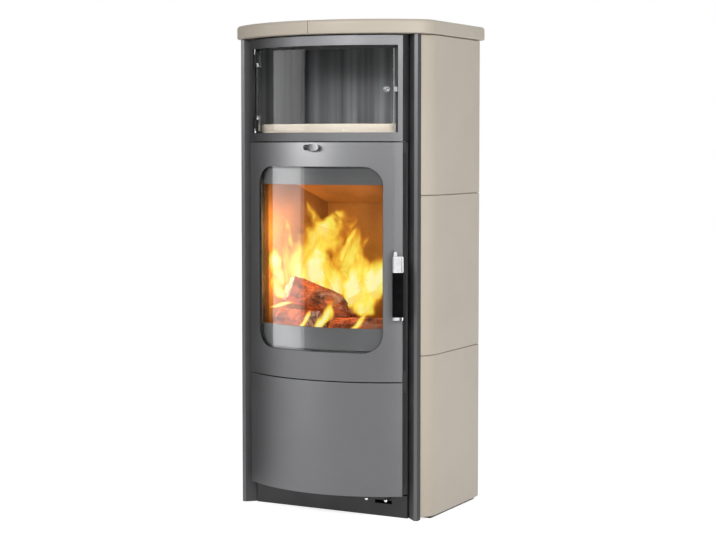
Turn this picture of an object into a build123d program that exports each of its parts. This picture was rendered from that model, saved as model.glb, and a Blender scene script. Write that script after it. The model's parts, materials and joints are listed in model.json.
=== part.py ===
"""Tiled wood stove with a warming compartment, a bowed steel front and a ceramic top plate.

Millimetres, +Z up, front towards -Y, origin on the floor at the centre of the stove's outline.
All bowed front pieces share one upright axis at (0, bow_centre_y).
"""
from build123d import *
from math import asin, cos, degrees, radians, sin, sqrt
import os

os.makedirs("parts", exist_ok=True)

# ---------------------------------------------------------------- driving dimensions
overall_height = 1250.0
door_half_width = 220.5         # the doors set the width of the whole stove
overall_depth = 457.0
rear_y = overall_depth / 2

fit_gap = 0.3           # between pieces that sit against each other
running_gap = 0.05      # radial, between a shaft and its bore

# Ceramic top plate, in two halves
top_plate_thickness = 35.0
top_plate_corner_radius = 65.0
top_plate_rear_radius = 22.0
top_plate_edge_round = 9.0
top_plate_seam = 1.4

# Ceramic side tiles
tile_overhang = 7.0             # the top plate stands this far past the tiles
tile_thickness = 22.0
tile_front_radius = 75.0
tile_front_turn = 45.0          # degrees of front corner that a tile covers
tile_rear_radius = 40.0
tile_edge_bevel = 1.8
tile_joint = 1.0
tile_joint_heights = (414.0, 815.0)
tile_top_gap = 1.5

# Bowed front
door_radius = 385.5
door_lead = 18.3                # the top plate's bow stands this far past the doors
door_edge_lead = 11.3           # the doors' edges stand this far past the side profiles
skin_thickness = 3.5
door_gap = 3.0
lower_door_bottom = 61.0
fire_door_bottom = 350.2
fire_door_top = 946.7
warm_frame_gap = 4.0            # under the top plate
return_depth = 18.0             # folded edge of a skin
return_inset = 26.0             # the folded edge stops this far from a door's corners

# Fire window
window_side_margin = 41.5       # of a door beside its window
window_bottom = 421.5
window_top = 886.5
window_corner = 48.0
clear_margin = 5.0              # the inner frame reaches this far into the window
clear_bottom = 482.0
clear_top = 841.0
glass_thickness = 4.0
glass_margin = 5.0              # glass behind the window's edge

# Door frames, seals and hinges
frame_left_margin = 12.5        # from the skin's edges to the inner frame
frame_right_margin = 30.0
frame_inset = 12.0              # frame inside the skin, top and bottom
frame_depth = 15.2
seal_thickness = 3.0
seal_width = 9.0
flange_radius = 363.0           # front of the body's bowed flange
flange_thickness = 4.0
hinge_margin = 4.5
hinge_radius = 372.3            # of the hinge axis, about the bow axis
pin_radius = 3.0
pin_length = 10.0
ear_radius = 6.5
ear_thickness = 6.0
ear_reach = 9.0

# Latch and handle of the fire door
handle_margin = 11.67           # from the door's right edge to the handle's middle
handle_axis_z = 673.0
handle_shaft_radius = 4.2
handle_shaft_offset = -6.0      # the shaft sits this far round from the grip's middle
handle_stand_off = 14.0
handle_depth = 15.0
handle_width = 26.5
sleeve_bottom = 625.0
sleeve_top = 666.0
grip_bottom = 514.5
cap_bottom = 507.0
latch_nose_length = 18.0
latch_nose_height = 8.0

# Turning air knob at the top of the fire door
knob_x = 4.0
knob_z = 934.0
knob_hub_radius = 9.5
knob_wing_length = 21.0
knob_wing_height = 15.0
knob_stand_off = 12.0

# Warming compartment
warm_frame_bottom = fire_door_top + door_gap
warm_opening_margin = 9.9
warm_opening_bottom = 971.5
warm_top_rail = 24.0
liner_margin = 23.5
liner_thickness = 2.0
liner_back_y = 85.0
warm_slab_thickness = 23.0
warm_slab_bow_radius = 357.0
warm_glass_margin = 22.5
warm_glass_bottom = 977.0
warm_glass_top_gap = 7.4
warm_hinge_margin = 16.5
warm_pin_radius = 2.0
clamp_height = 34.0
clamp_cap_radius = 5.5
warm_knob_margin = 33.5
warm_knob_radius = 7.5

# Steel body
body_margin = 0.5               # the body stands this far past the doors
body_sheet = 4.0
body_back_y = 154.0
base_thickness = 6.0
fire_floor_z = 396.0
fire_ceiling_z = 944.0
lower_floor_z = 62.0
lower_opening = (78.0, 330.0)
fire_opening = (404.0, 916.0)
flange_side = 41.0              # of the flange beside its openings
smoke_slot_front_y = 108.0

# Side profiles and plinth
profile_reach = 35.5            # from the body to the outer side of a profile
profile_face = 10.0
profile_side_depth = 18.5
profile_slant = 24.0            # depth of the slanting inner side
profile_flange = 22.0
profile_sheet = 3.0
tile_reveal = 21.5              # from a profile to the outer side of the tiles
plinth_setback = 17.0
plinth_sheet = 3.0
plinth_height = 57.0
floor_clearance = 0.5

# Firebox lining
brick_thickness = 28.0
brick_front_y = -106.0
brick_back_y = 70.0
brick_front_margin = 35.0       # from the body's side to the bricks' faces
brick_back_margin = 113.0
hearth_thickness = 29.7
baffle_front_z = 846.0
baffle_back_z = 787.0
baffle_front_y = -45.0
baffle_thickness = 25.0
grate_length = 160.0
grate_width = 130.0
grate_y = -35.0
grate_slot = 7.0

# Chimney and air connections
flue_radius = 74.5
flue_wall = 2.0
flue_drop = 130.0               # of the flue's axis below the top plate
air_spigot_radius = 49.5
air_spigot_wall = 1.5
air_spigot_z = 125.0

# Air controls under the lower door
air_rod_margins = (104.5, 49.5) # from the door's right edge
air_rod_z = 46.0
air_rod_radius = 3.0
air_knob_radius = 5.0
air_duct_top = 38.0

# Ash pan
pan_width = 220.0
pan_depth = 160.0
pan_height = 46.0
pan_bottom = 256.0
pan_sheet = 1.5
pan_y_offset = 15.0             # of the pan's middle behind the grate's

# ---------------------------------------------------------------- derived places
top_plate_bottom = overall_height - top_plate_thickness
bow_centre_y = -rear_y + door_lead + door_radius
top_plate_bow_radius = door_radius + door_lead
body_half_width = door_half_width + body_margin
profile_half_width = body_half_width + profile_reach
tile_half_width = profile_half_width + tile_reveal
top_plate_half_width = tile_half_width + tile_overhang
window_width = 2 * (door_half_width - window_side_margin)
clear_width = window_width - 2 * clear_margin
frame_left = -door_half_width + frame_left_margin
frame_right = door_half_width - frame_right_margin
hinge_x = -door_half_width + hinge_margin
handle_angle = degrees(asin((door_half_width - handle_margin) / door_radius))
opening_half_width = body_half_width - flange_side
brick_front_half_width = body_half_width - brick_front_margin
brick_back_half_width = body_half_width - brick_back_margin
air_rod_x = tuple(door_half_width - margin for margin in air_rod_margins)
warm_frame_top = top_plate_bottom - warm_frame_gap
warm_opening_half_width = door_half_width - warm_opening_margin
warm_opening_top = warm_frame_top - warm_top_rail
liner_half_width = door_half_width - liner_margin
warm_glass_half_width = door_half_width - warm_glass_margin
warm_glass_top = warm_opening_top - warm_glass_top_gap
warm_hinge_x = -door_half_width + warm_hinge_margin
warm_knob_x = door_half_width - warm_knob_margin
warm_knob_z = (warm_glass_bottom + warm_glass_top) / 2
flue_z = top_plate_bottom - flue_drop
lower_door_top = fire_door_bottom - door_gap
skin_inner = door_radius - skin_thickness
glass_outer = skin_inner - fit_gap
glass_inner = glass_outer - glass_thickness
frame_outer = skin_inner - fit_gap
frame_inner = frame_outer - frame_depth


def bow_y(radius, x):
    """Y of the front of an arc of this radius about the bow axis."""
    return bow_centre_y - sqrt(radius ** 2 - x ** 2)


profile_front_y = bow_y(door_radius, door_half_width) + door_edge_lead
plinth_front_y = profile_front_y + plinth_setback
hinge_y = bow_y(hinge_radius, hinge_x)
flange_back = flange_radius - flange_thickness
wall_front_y = bow_y(flange_back, body_half_width)
frame_seal_radius = frame_inner - fit_gap


# ---------------------------------------------------------------- shared shapes
def bow_band(outer_radius, inner_radius, left_x, right_x):
    """Plan of the band between two arcs about the bow axis."""
    middle_x = (left_x + right_x) / 2
    outer = [(x, bow_y(outer_radius, x)) for x in (left_x, middle_x, right_x)]
    inner = [(x, bow_y(inner_radius, x)) for x in (right_x, middle_x, left_x)]
    with BuildSketch() as band:
        with BuildLine():
            ThreePointArc(*outer)
            Line(outer[-1], inner[0])
            ThreePointArc(*inner)
            Line(inner[-1], outer[0])
        make_face()
    return band.sketch


def bow_floor(radius, half_width, back_y):
    """Plan of a floor with a bowed front edge and a straight back."""
    corner_y = bow_y(radius, half_width)
    with BuildSketch() as floor:
        with BuildLine():
            ThreePointArc((-half_width, corner_y), (0, bow_y(radius, 0)), (half_width, corner_y))
            Polyline(
                (half_width, corner_y),
                (half_width, back_y),
                (-half_width, back_y),
                (-half_width, corner_y),
            )
        make_face()
    return floor.sketch


def block(x, y, z, mode=Mode.ADD):
    """Rectangular block between pairs of limits."""
    with Locations(((x[0] + x[1]) / 2, (y[0] + y[1]) / 2, (z[0] + z[1]) / 2)):
        Box(x[1] - x[0], y[1] - y[0], z[1] - z[0], mode=mode)


def disc(x, y, z, radius, mode=Mode.ADD):
    """Upright cylinder at (x, y) between a pair of heights."""
    with Locations((x, y, (z[0] + z[1]) / 2)):
        Cylinder(radius, z[1] - z[0], mode=mode)


def rod_y(x, z, y, radius, mode=Mode.ADD):
    """Cylinder along Y at (x, z) between a pair of Y limits."""
    with Locations(Location((x, (y[0] + y[1]) / 2, z), (90, 0, 0))):
        Cylinder(radius, y[1] - y[0], mode=mode)


def front_plane(angle, radius, z):
    """Plane on the bow at an angle from the front: X round the bow, Y up, Z outwards."""
    turn = radians(angle)
    origin = (radius * sin(turn), bow_centre_y - radius * cos(turn), z)
    return Plane(origin=origin, x_dir=(cos(turn), sin(turn), 0), z_dir=(sin(turn), -cos(turn), 0))


def save(part, name):
    """Labels a finished piece and writes it."""
    part.label = name
    export_step(part, f"parts/{name}.step")


# ---------------------------------------------------------------- base and steel body
base_half_width = tile_half_width - 8
base_front_y = plinth_front_y + plinth_sheet + fit_gap
base_back_y = rear_y - 8
base_shoulder_y = profile_front_y + profile_slant + profile_flange + 4
base_rear_chamfer = 34
front_foot = (body_half_width - 14, base_front_y + 47)
rear_foot = (body_half_width - 3, rear_y - 42.5)
foot_screw_places = [(side * x, y) for x, y in (front_foot, rear_foot) for side in (-1, 1)]
foot_screw_radius = 5.0
foot_head_radius = 9.0
foot_head_height = 8.0
foot_socket_radius = 3.5

with BuildPart() as base_plate:
    with BuildSketch(Plane.XY) as base_outline:
        with BuildLine():
            Polyline(
                (body_half_width - 2, base_front_y),
                (body_half_width - 2, base_shoulder_y),
                (base_half_width, base_shoulder_y),
                (base_half_width, base_back_y - base_rear_chamfer),
                (base_half_width - base_rear_chamfer, base_back_y),
                (-base_half_width + base_rear_chamfer, base_back_y),
                (-base_half_width, base_back_y - base_rear_chamfer),
                (-base_half_width, base_shoulder_y),
                (-body_half_width + 2, base_shoulder_y),
                (-body_half_width + 2, base_front_y),
                close=True,
            )
        make_face()
        with Locations(*foot_screw_places):
            Circle(foot_screw_radius + fit_gap, mode=Mode.SUBTRACT)
    extrude(amount=base_thickness)
save(base_plate.part, "base_plate")

with BuildPart() as levelling_screws:
    for place_x, place_y in foot_screw_places:
        disc(place_x, place_y, (0, base_thickness + fit_gap), foot_screw_radius)
        head = (base_thickness + fit_gap, base_thickness + fit_gap + foot_head_height)
        disc(place_x, place_y, head, foot_head_radius)
        with BuildSketch(Plane.XY.offset(head[1])) as sockets:
            with Locations((place_x, place_y)):
                RegularPolygon(foot_socket_radius, 6)
        extrude(amount=-foot_head_height / 2, mode=Mode.SUBTRACT)
save(levelling_screws.part, "levelling_screws")

body_bottom = base_thickness + fit_gap
body_top = top_plate_bottom - body_sheet


def body_wall(side):
    """Side wall of the body, on side -1 or 1."""
    outer = side * body_half_width
    inner = side * (body_half_width - body_sheet)
    with BuildPart() as wall:
        block(sorted((outer, inner)), (wall_front_y, body_back_y - body_sheet), (body_bottom, body_top))
    return wall.part


save(body_wall(-1), "body_left_wall")
save(body_wall(1), "body_right_wall")

with BuildPart() as body_back_wall:
    block(
        (-body_half_width, body_half_width),
        (body_back_y - body_sheet, body_back_y),
        (body_bottom, body_top),
    )
    back_limits = (body_back_y - 2 * body_sheet, body_back_y + body_sheet)
    rod_y(0, flue_z, back_limits, flue_radius - flue_wall, mode=Mode.SUBTRACT)
    rod_y(0, air_spigot_z, back_limits, air_spigot_radius - air_spigot_wall, mode=Mode.SUBTRACT)
save(body_back_wall.part, "body_back_wall")

shelf_half_width = body_half_width - body_sheet - fit_gap
shelf_back_y = body_back_y - body_sheet - fit_gap
shelf_radius = flange_back - fit_gap

# Air passes through the lower floor from the duct under it to the riser behind the lower compartment
riser_half_width = 70.0
riser_front_y = 92.0
riser_top = 190.0
duct_sheet = 1.5
with BuildPart() as lower_floor:
    with BuildSketch(Plane.XY.offset(lower_floor_z)):
        add(bow_floor(shelf_radius, shelf_half_width, shelf_back_y))
    extrude(amount=body_sheet)
    riser_hole_x = (-riser_half_width + duct_sheet, riser_half_width - duct_sheet)
    riser_hole_y = (riser_front_y + duct_sheet, shelf_back_y - duct_sheet)
    block(riser_hole_x, riser_hole_y, (lower_floor_z - 1, lower_floor_z + body_sheet + 1), mode=Mode.SUBTRACT)
save(lower_floor.part, "lower_compartment_floor")

chute_wall = 2.0
chute_bottom = pan_bottom + pan_height + 8
grate_rim = 10.0
chute_x = (grate_length / 2 - grate_rim + chute_wall, grate_length / 2 - grate_rim)
chute_y = (grate_width / 2 - grate_rim + chute_wall, grate_width / 2 - grate_rim)
with BuildPart() as fire_floor:
    with BuildSketch(Plane.XY.offset(fire_floor_z)):
        add(bow_floor(shelf_radius, shelf_half_width, shelf_back_y))
    extrude(amount=body_sheet)
    block(
        (-chute_x[0], chute_x[0]),
        (grate_y - chute_y[0], grate_y + chute_y[0]),
        (chute_bottom, fire_floor_z),
    )
    block(
        (-chute_x[1], chute_x[1]),
        (grate_y - chute_y[1], grate_y + chute_y[1]),
        (chute_bottom - 1, fire_floor_z + body_sheet + 1),
        mode=Mode.SUBTRACT,
    )
save(fire_floor.part, "firebox_floor")

smoke_slot_half_width = 150.0
with BuildPart() as fire_ceiling:
    with BuildSketch(Plane.XY.offset(fire_ceiling_z)):
        add(bow_floor(shelf_radius, shelf_half_width, shelf_back_y))
    extrude(amount=body_sheet)
    block(
        (-smoke_slot_half_width, smoke_slot_half_width),
        (smoke_slot_front_y, shelf_back_y - body_sheet),
        (fire_ceiling_z - 1, fire_ceiling_z + body_sheet + 1),
        mode=Mode.SUBTRACT,
    )
save(fire_ceiling.part, "firebox_ceiling")

with BuildPart() as body_top_plate:
    with BuildSketch(Plane.XY.offset(body_top)):
        add(bow_floor(frame_inner, body_half_width, body_back_y))
    extrude(amount=body_sheet)
save(body_top_plate.part, "body_top_plate")

flange_bottom = lower_floor_z - fit_gap
flange_top = fire_ceiling_z + body_sheet
with BuildPart() as front_flange:
    with BuildSketch(Plane.XY.offset(flange_bottom)):
        add(bow_band(flange_radius, flange_back, -body_half_width, body_half_width))
    extrude(amount=flange_top - flange_bottom)
    for low, high in (lower_opening, fire_opening):
        with BuildSketch(Plane.XZ):
            with Locations((0, (low + high) / 2)):
                RectangleRounded(2 * opening_half_width, high - low, 6)
        extrude(amount=rear_y, mode=Mode.SUBTRACT)
save(front_flange.part, "front_flange")

# ---------------------------------------------------------------- side profiles and plinth
with BuildPart() as profile_right:
    with BuildSketch(Plane.XY.offset(floor_clearance)):
        with BuildLine():
            FilletPolyline(
                (profile_half_width, profile_front_y + profile_side_depth),
                (profile_half_width, profile_front_y),
                (profile_half_width - profile_face, profile_front_y),
                (body_half_width + fit_gap, profile_front_y + profile_slant),
                (body_half_width + fit_gap, profile_front_y + profile_slant + profile_flange),
                radius=1.5,
            )
            offset(amount=profile_sheet, side=Side.RIGHT)
        make_face()
    extrude(amount=top_plate_bottom - fit_gap - floor_clearance)
save(profile_right.part, "side_profile_right")

with BuildPart() as profile_left:
    mirror(profile_right.part, about=Plane.YZ)
save(profile_left.part, "side_profile_left")

# The slot behind the air rods lets air reach the duct
plinth_slot_x = (air_rod_x[0] + 13, air_rod_x[1] + 6)
plinth_slot_z = (32.5, 41.0)
with BuildPart() as plinth:
    block(
        (-door_half_width, door_half_width),
        (plinth_front_y, plinth_front_y + plinth_sheet),
        (floor_clearance, floor_clearance + plinth_height),
    )
    plinth_limits = (plinth_front_y - plinth_sheet, plinth_front_y + 2 * plinth_sheet)
    for rod_x in air_rod_x:
        rod_y(rod_x, air_rod_z, plinth_limits, air_rod_radius + running_gap, mode=Mode.SUBTRACT)
    with BuildSketch(Plane.XZ.offset(-plinth_front_y - 2 * plinth_sheet)):
        with Locations((sum(plinth_slot_x) / 2, sum(plinth_slot_z) / 2)):
            Rectangle(plinth_slot_x[1] - plinth_slot_x[0], plinth_slot_z[1] - plinth_slot_z[0])
    extrude(amount=3 * plinth_sheet, mode=Mode.SUBTRACT)
save(plinth.part, "plinth_plate")

# ---------------------------------------------------------------- air supply
duct_x = (88.0, 198.0)
duct_front_y = -55.0
air_slot_size = (24.0, 40.0)
air_slide_size = (34.0, 62.0)
air_slide_thickness = 2.0
air_travel = 30.0
air_slot_y = -10.0

with BuildPart() as air_duct:
    duct_z = (base_thickness + fit_gap, air_duct_top)
    block(duct_x, (duct_front_y, shelf_back_y - fit_gap), duct_z)
    block((-riser_half_width, duct_x[0] + 1), (riser_front_y, shelf_back_y - fit_gap), duct_z)
    riser_z = (duct_z[0], lower_floor_z - fit_gap)
    block((-riser_half_width, riser_half_width), (riser_front_y, shelf_back_y - fit_gap), riser_z)
    inner_z = (duct_z[0] + duct_sheet, air_duct_top - duct_sheet)
    inner_back_y = shelf_back_y - fit_gap - duct_sheet
    block(
        (duct_x[0] + duct_sheet, duct_x[1] - duct_sheet),
        (duct_front_y + duct_sheet, inner_back_y),
        inner_z,
        mode=Mode.SUBTRACT,
    )
    block(
        (-riser_half_width + duct_sheet, duct_x[0] + 2 * duct_sheet),
        (riser_front_y + duct_sheet, inner_back_y),
        inner_z,
        mode=Mode.SUBTRACT,
    )
    riser_inner_y = (riser_front_y + duct_sheet, inner_back_y)
    block(riser_hole_x, riser_inner_y, (inner_z[0], riser_z[1] + 1), mode=Mode.SUBTRACT)
    for rod_x in air_rod_x:
        slot_x = (rod_x - air_slot_size[0] / 2, rod_x + air_slot_size[0] / 2)
        slot_y = (air_slot_y - air_slot_size[1] / 2, air_slot_y + air_slot_size[1] / 2)
        block(slot_x, slot_y, (inner_z[1] - 1, air_duct_top + 1), mode=Mode.SUBTRACT)
    # The riser behind the lower compartment, a solid of its own above the compartment's floor
    riser_floor = lower_floor_z + body_sheet + fit_gap
    block((-riser_half_width, riser_half_width), (riser_front_y, shelf_back_y), (riser_floor, riser_top))
    block(
        riser_hole_x,
        (riser_front_y + duct_sheet, shelf_back_y + 1),
        (riser_floor - 1, riser_top - duct_sheet),
        mode=Mode.SUBTRACT,
    )
save(air_duct.part, "air_duct")

with BuildPart() as air_spigot:
    spigot_y = (body_back_y + fit_gap, rear_y)
    rod_y(0, air_spigot_z, spigot_y, air_spigot_radius)
    rod_y(0, air_spigot_z, (body_back_y + fit_gap, body_back_y + 4), air_spigot_radius + 8)
    bore_y = (body_back_y - 1, rear_y + 1)
    rod_y(0, air_spigot_z, bore_y, air_spigot_radius - air_spigot_wall, mode=Mode.SUBTRACT)
save(air_spigot.part, "external_air_spigot")


def air_rod(rod_x):
    """Pull rod with a round knob in front and a slide plate over the duct's slot."""
    knob_y = profile_front_y - 4
    plate_z = (air_duct_top + fit_gap, air_duct_top + fit_gap + air_slide_thickness)
    plate_y = (air_slot_y - air_slide_size[1] / 2, air_slot_y + air_slide_size[1] / 2)
    with BuildPart() as rod:
        rod_y(rod_x, air_rod_z, (knob_y, plate_y[0] + 14), air_rod_radius)
        block((rod_x - air_rod_radius, rod_x + air_rod_radius), (plate_y[0], plate_y[0] + 14),
              (plate_z[0], air_rod_z))
        block((rod_x - air_slide_size[0] / 2, rod_x + air_slide_size[0] / 2), plate_y, plate_z)
        with Locations((rod_x, knob_y, air_rod_z)):
            Sphere(air_knob_radius)
    return rod.part


save(air_rod(air_rod_x[0]), "primary_air_rod")
save(air_rod(air_rod_x[1]), "secondary_air_rod")

# ---------------------------------------------------------------- firebox lining
hearth_bottom = fire_floor_z + body_sheet + fit_gap
hearth_top = hearth_bottom + hearth_thickness
hearth_radius = flange_back - 4
with BuildPart() as hearth:
    with BuildSketch(Plane.XY.offset(hearth_bottom)):
        add(bow_floor(hearth_radius, shelf_half_width - fit_gap, shelf_back_y - fit_gap))
        with Locations((0, grate_y)):
            Rectangle(grate_length, grate_width, mode=Mode.SUBTRACT)
    extrude(amount=hearth_thickness)
save(hearth.part, "hearth_brick")

brick_top = baffle_back_z + 90
slope = (brick_front_half_width - brick_back_half_width) / (brick_back_y - brick_front_y)
brick_bottom = hearth_top + fit_gap
with BuildPart() as brick_right:
    with BuildSketch(Plane.XY.offset(brick_bottom)):
        with BuildLine():
            Polyline(
                (brick_front_half_width, brick_front_y),
                (brick_front_half_width + brick_thickness, brick_front_y),
                (brick_back_half_width + 2 * brick_thickness, brick_back_y + brick_thickness),
                (brick_back_half_width + fit_gap, brick_back_y + brick_thickness),
                (brick_back_half_width + fit_gap, brick_back_y),
                close=True,
            )
        make_face()
    extrude(amount=brick_top - brick_bottom)
    # Ledge that the smoke baffle rests on, sloping back with it
    with BuildSketch(Plane.YZ.offset(brick_back_half_width - 20)):
        with BuildLine():
            Polyline(
                (brick_front_y - 1, baffle_front_z),
                (brick_front_y - 1, brick_top + 1),
                (brick_back_y + brick_thickness + 1, brick_top + 1),
                (brick_back_y + brick_thickness + 1, baffle_back_z),
                (brick_back_y, baffle_back_z),
                (baffle_front_y, baffle_front_z),
                close=True,
            )
        make_face()
    extrude(amount=body_half_width, mode=Mode.SUBTRACT)
save(brick_right.part, "firebrick_right")

with BuildPart() as brick_left:
    mirror(brick_right.part, about=Plane.YZ)
save(brick_left.part, "firebrick_left")

with BuildPart() as brick_back:
    block(
        (-brick_back_half_width, brick_back_half_width),
        (brick_back_y, brick_back_y + brick_thickness),
        (brick_bottom, baffle_back_z),
    )
save(brick_back.part, "firebrick_back")

baffle_half_width = brick_front_half_width + 18
with BuildPart() as baffle:
    with BuildSketch(Plane.YZ) as baffle_side:
        with BuildLine():
            Polyline(
                (baffle_front_y, baffle_front_z + fit_gap),
                (brick_back_y, baffle_back_z + fit_gap),
                (brick_back_y + brick_thickness, baffle_back_z + fit_gap),
                (brick_back_y + brick_thickness, baffle_back_z + baffle_thickness),
                (brick_back_y, baffle_back_z + baffle_thickness),
                (baffle_front_y, baffle_front_z + baffle_thickness),
                close=True,
            )
        make_face()
    extrude(amount=baffle_half_width, both=True)
save(baffle.part, "smoke_baffle")

# Steel deflector on two ledge strips above the baffle
deflector_z = 884.0
deflector_sheet = 3.0
with BuildPart() as deflector:
    block((-shelf_half_width, shelf_half_width), (-95, 40), (deflector_z, deflector_z + deflector_sheet))
    for side in (-1, 1):
        lip = sorted((side * shelf_half_width, side * (shelf_half_width - deflector_sheet)))
        block(lip, (-95, 40), (deflector_z, deflector_z + 20))
save(deflector.part, "flue_deflector")

grate_thickness = 14.0
# Its rim rests on the steel floor round the ash chute
with BuildPart() as grate:
    grate_x = grate_length / 2 - fit_gap
    grate_half_depth = grate_width / 2 - fit_gap
    grate_z = (fire_floor_z + body_sheet + fit_gap, hearth_top - 4)
    block((-grate_x, grate_x), (grate_y - grate_half_depth, grate_y + grate_half_depth), grate_z)
    block(
        (-grate_x + grate_rim, grate_x - grate_rim),
        (grate_y - grate_half_depth + grate_rim, grate_y + grate_half_depth - grate_rim),
        (grate_z[0] - 1, grate_z[1] - grate_thickness),
        mode=Mode.SUBTRACT,
    )
    with BuildSketch(Plane.XY.offset(grate_z[1])):
        with GridLocations(grate_slot * 2, 0, 9, 1):
            with Locations((0, grate_y)):
                SlotOverall(grate_width - 30, grate_slot, rotation=90)
    extrude(amount=-grate_thickness - 1, mode=Mode.SUBTRACT)
save(grate.part, "grate")

retainer_radius = hearth_radius - 3
retainer_half_width = 168.0
retainer_height = 40.0
retainer_sheet = 4.0
with BuildPart() as log_retainer:
    for depth, height in ((retainer_sheet, retainer_height), (20, retainer_sheet)):
        with BuildSketch(Plane.XY.offset(hearth_top + fit_gap)):
            add(bow_band(retainer_radius, retainer_radius - depth, -retainer_half_width, retainer_half_width))
        extrude(amount=height)
save(log_retainer.part, "log_retainer")


def log(start, end, radius, end_radius):
    """Split log from start to end, a loft between two uneven many-sided faces."""
    axis = (Vector(end) - Vector(start)).normalized()
    level = Vector(0, 0, 1).cross(axis).normalized()
    corner_sizes = (1.0, 0.92, 0.97, 1.0, 0.9, 0.98, 0.94, 1.0, 0.93)
    with BuildPart() as wood:
        for place, size in ((start, radius), (end, end_radius)):
            with BuildSketch(Plane(origin=place, x_dir=level, z_dir=axis)):
                with BuildLine():
                    corners = [
                        (size * share * cos(radians(40 * i - 10)), size * share * sin(radians(40 * i - 10)))
                        for i, share in enumerate(corner_sizes)
                    ]
                    Polyline(*corners, close=True)
                make_face()
        loft(ruled=True)
    return wood.part


# The two lower logs lie on the hearth, and the upper one leans across the left of them
log_floor = hearth_top + fit_gap
log_radii = ((43.5, 42.5), (35.0, 36.0), (35.5, 33.5))
upper_log_start = (-110, -131, log_floor + 143.6)
upper_log_end = (46, 4, log_floor + 60.6)
left_log_end = brick_front_half_width - 28
left_log_slant = 32 / 114
right_log_end = brick_front_half_width - 40
right_log_slant = 40 / 144
with BuildPart() as firewood:
    add(log(
        (-left_log_end, -112 + left_log_slant * (left_log_end - 44), log_floor + log_radii[0][0]),
        (-44, -112, log_floor + log_radii[0][1]),
        *log_radii[0],
    ))
    add(log(
        (2, -112, log_floor + log_radii[1][0]),
        (right_log_end, -112 + right_log_slant * (right_log_end - 2), log_floor + log_radii[1][1]),
        *log_radii[1],
    ))
    add(log(upper_log_start, upper_log_end, *log_radii[2]))
save(firewood.part, "firewood")

# ---------------------------------------------------------------- ash pan
pan_half_width = pan_width / 2
pan_y = (grate_y + pan_y_offset - pan_depth / 2, grate_y + pan_y_offset + pan_depth / 2)
runner_z = (pan_bottom + pan_height - 8, pan_bottom + pan_height - 8 - 3)
with BuildPart() as ash_pan:
    block((-pan_half_width, pan_half_width), pan_y, (pan_bottom, pan_bottom + pan_height))
    block(
        (-pan_half_width + pan_sheet, pan_half_width - pan_sheet),
        (pan_y[0] + pan_sheet, pan_y[1] - pan_sheet),
        (pan_bottom + pan_sheet, pan_bottom + pan_height + 1),
        mode=Mode.SUBTRACT,
    )
    for side in (-1, 1):
        lip = sorted((side * (pan_half_width - pan_sheet), side * (pan_half_width + 10)))
        block(lip, pan_y, (pan_bottom + pan_height - pan_sheet, pan_bottom + pan_height))
    block((-34, 34), (pan_y[0] - 16, pan_y[0]), (pan_bottom + pan_height - 12, pan_bottom + pan_height - 9))
save(ash_pan.part, "ash_pan")

runner_top = pan_bottom + pan_height - pan_sheet - fit_gap
with BuildPart() as pan_runners:
    for side in (-1, 1):
        shelf = sorted((side * (pan_half_width + 1), side * (pan_half_width + 14)))
        block(shelf, pan_y, (runner_top - 2, runner_top))
        web = sorted((side * (pan_half_width + 12), side * (pan_half_width + 14)))
        block(web, pan_y, (runner_top - 2, fire_floor_z - fit_gap))
        foot = sorted((side * (pan_half_width + 12), side * (pan_half_width + 34)))
        block(foot, pan_y, (fire_floor_z - fit_gap - 2, fire_floor_z - fit_gap))
save(pan_runners.part, "ash_pan_runners")

# ---------------------------------------------------------------- hinge ears and latch keeper
lower_frame_z = (lower_door_bottom + frame_inset, lower_door_top - frame_inset)
fire_frame_z = (fire_door_bottom + frame_inset, fire_door_top - frame_inset)
ear_gap = 1.0
ear_front_y = bow_y(flange_radius, hinge_x + ear_reach)
with BuildPart() as hinge_ears:
    for low, high in (lower_frame_z, fire_frame_z):
        lower_ear_z = (low - ear_gap - ear_thickness, low - ear_gap)
        upper_ear_z = (high + ear_gap, high + ear_gap + ear_thickness)
        for ear_z in (lower_ear_z, upper_ear_z):
            disc(hinge_x, hinge_y, ear_z, ear_radius)
            block((hinge_x - 3, hinge_x + ear_reach), (hinge_y, bow_y(flange_radius, hinge_x)), ear_z)
            disc(hinge_x, hinge_y, (ear_z[0] - 1, ear_z[1] + 1), pin_radius + running_gap, mode=Mode.SUBTRACT)
    with BuildSketch(Plane.XY):
        add(bow_band(flange_radius, flange_back - 20, -body_half_width, 0))
    extrude(amount=fire_door_top, mode=Mode.SUBTRACT)
save(hinge_ears.part, "hinge_ears")

lug_inner = frame_inner + 6
nose_radii = (lug_inner - fit_gap, lug_inner - fit_gap - 5.4)
keeper_bottom = handle_axis_z + latch_nose_height / 2 + 1
keeper_thickness = 5.0
keeper_x = (door_half_width - 17.5, door_half_width - 6.5)

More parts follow.
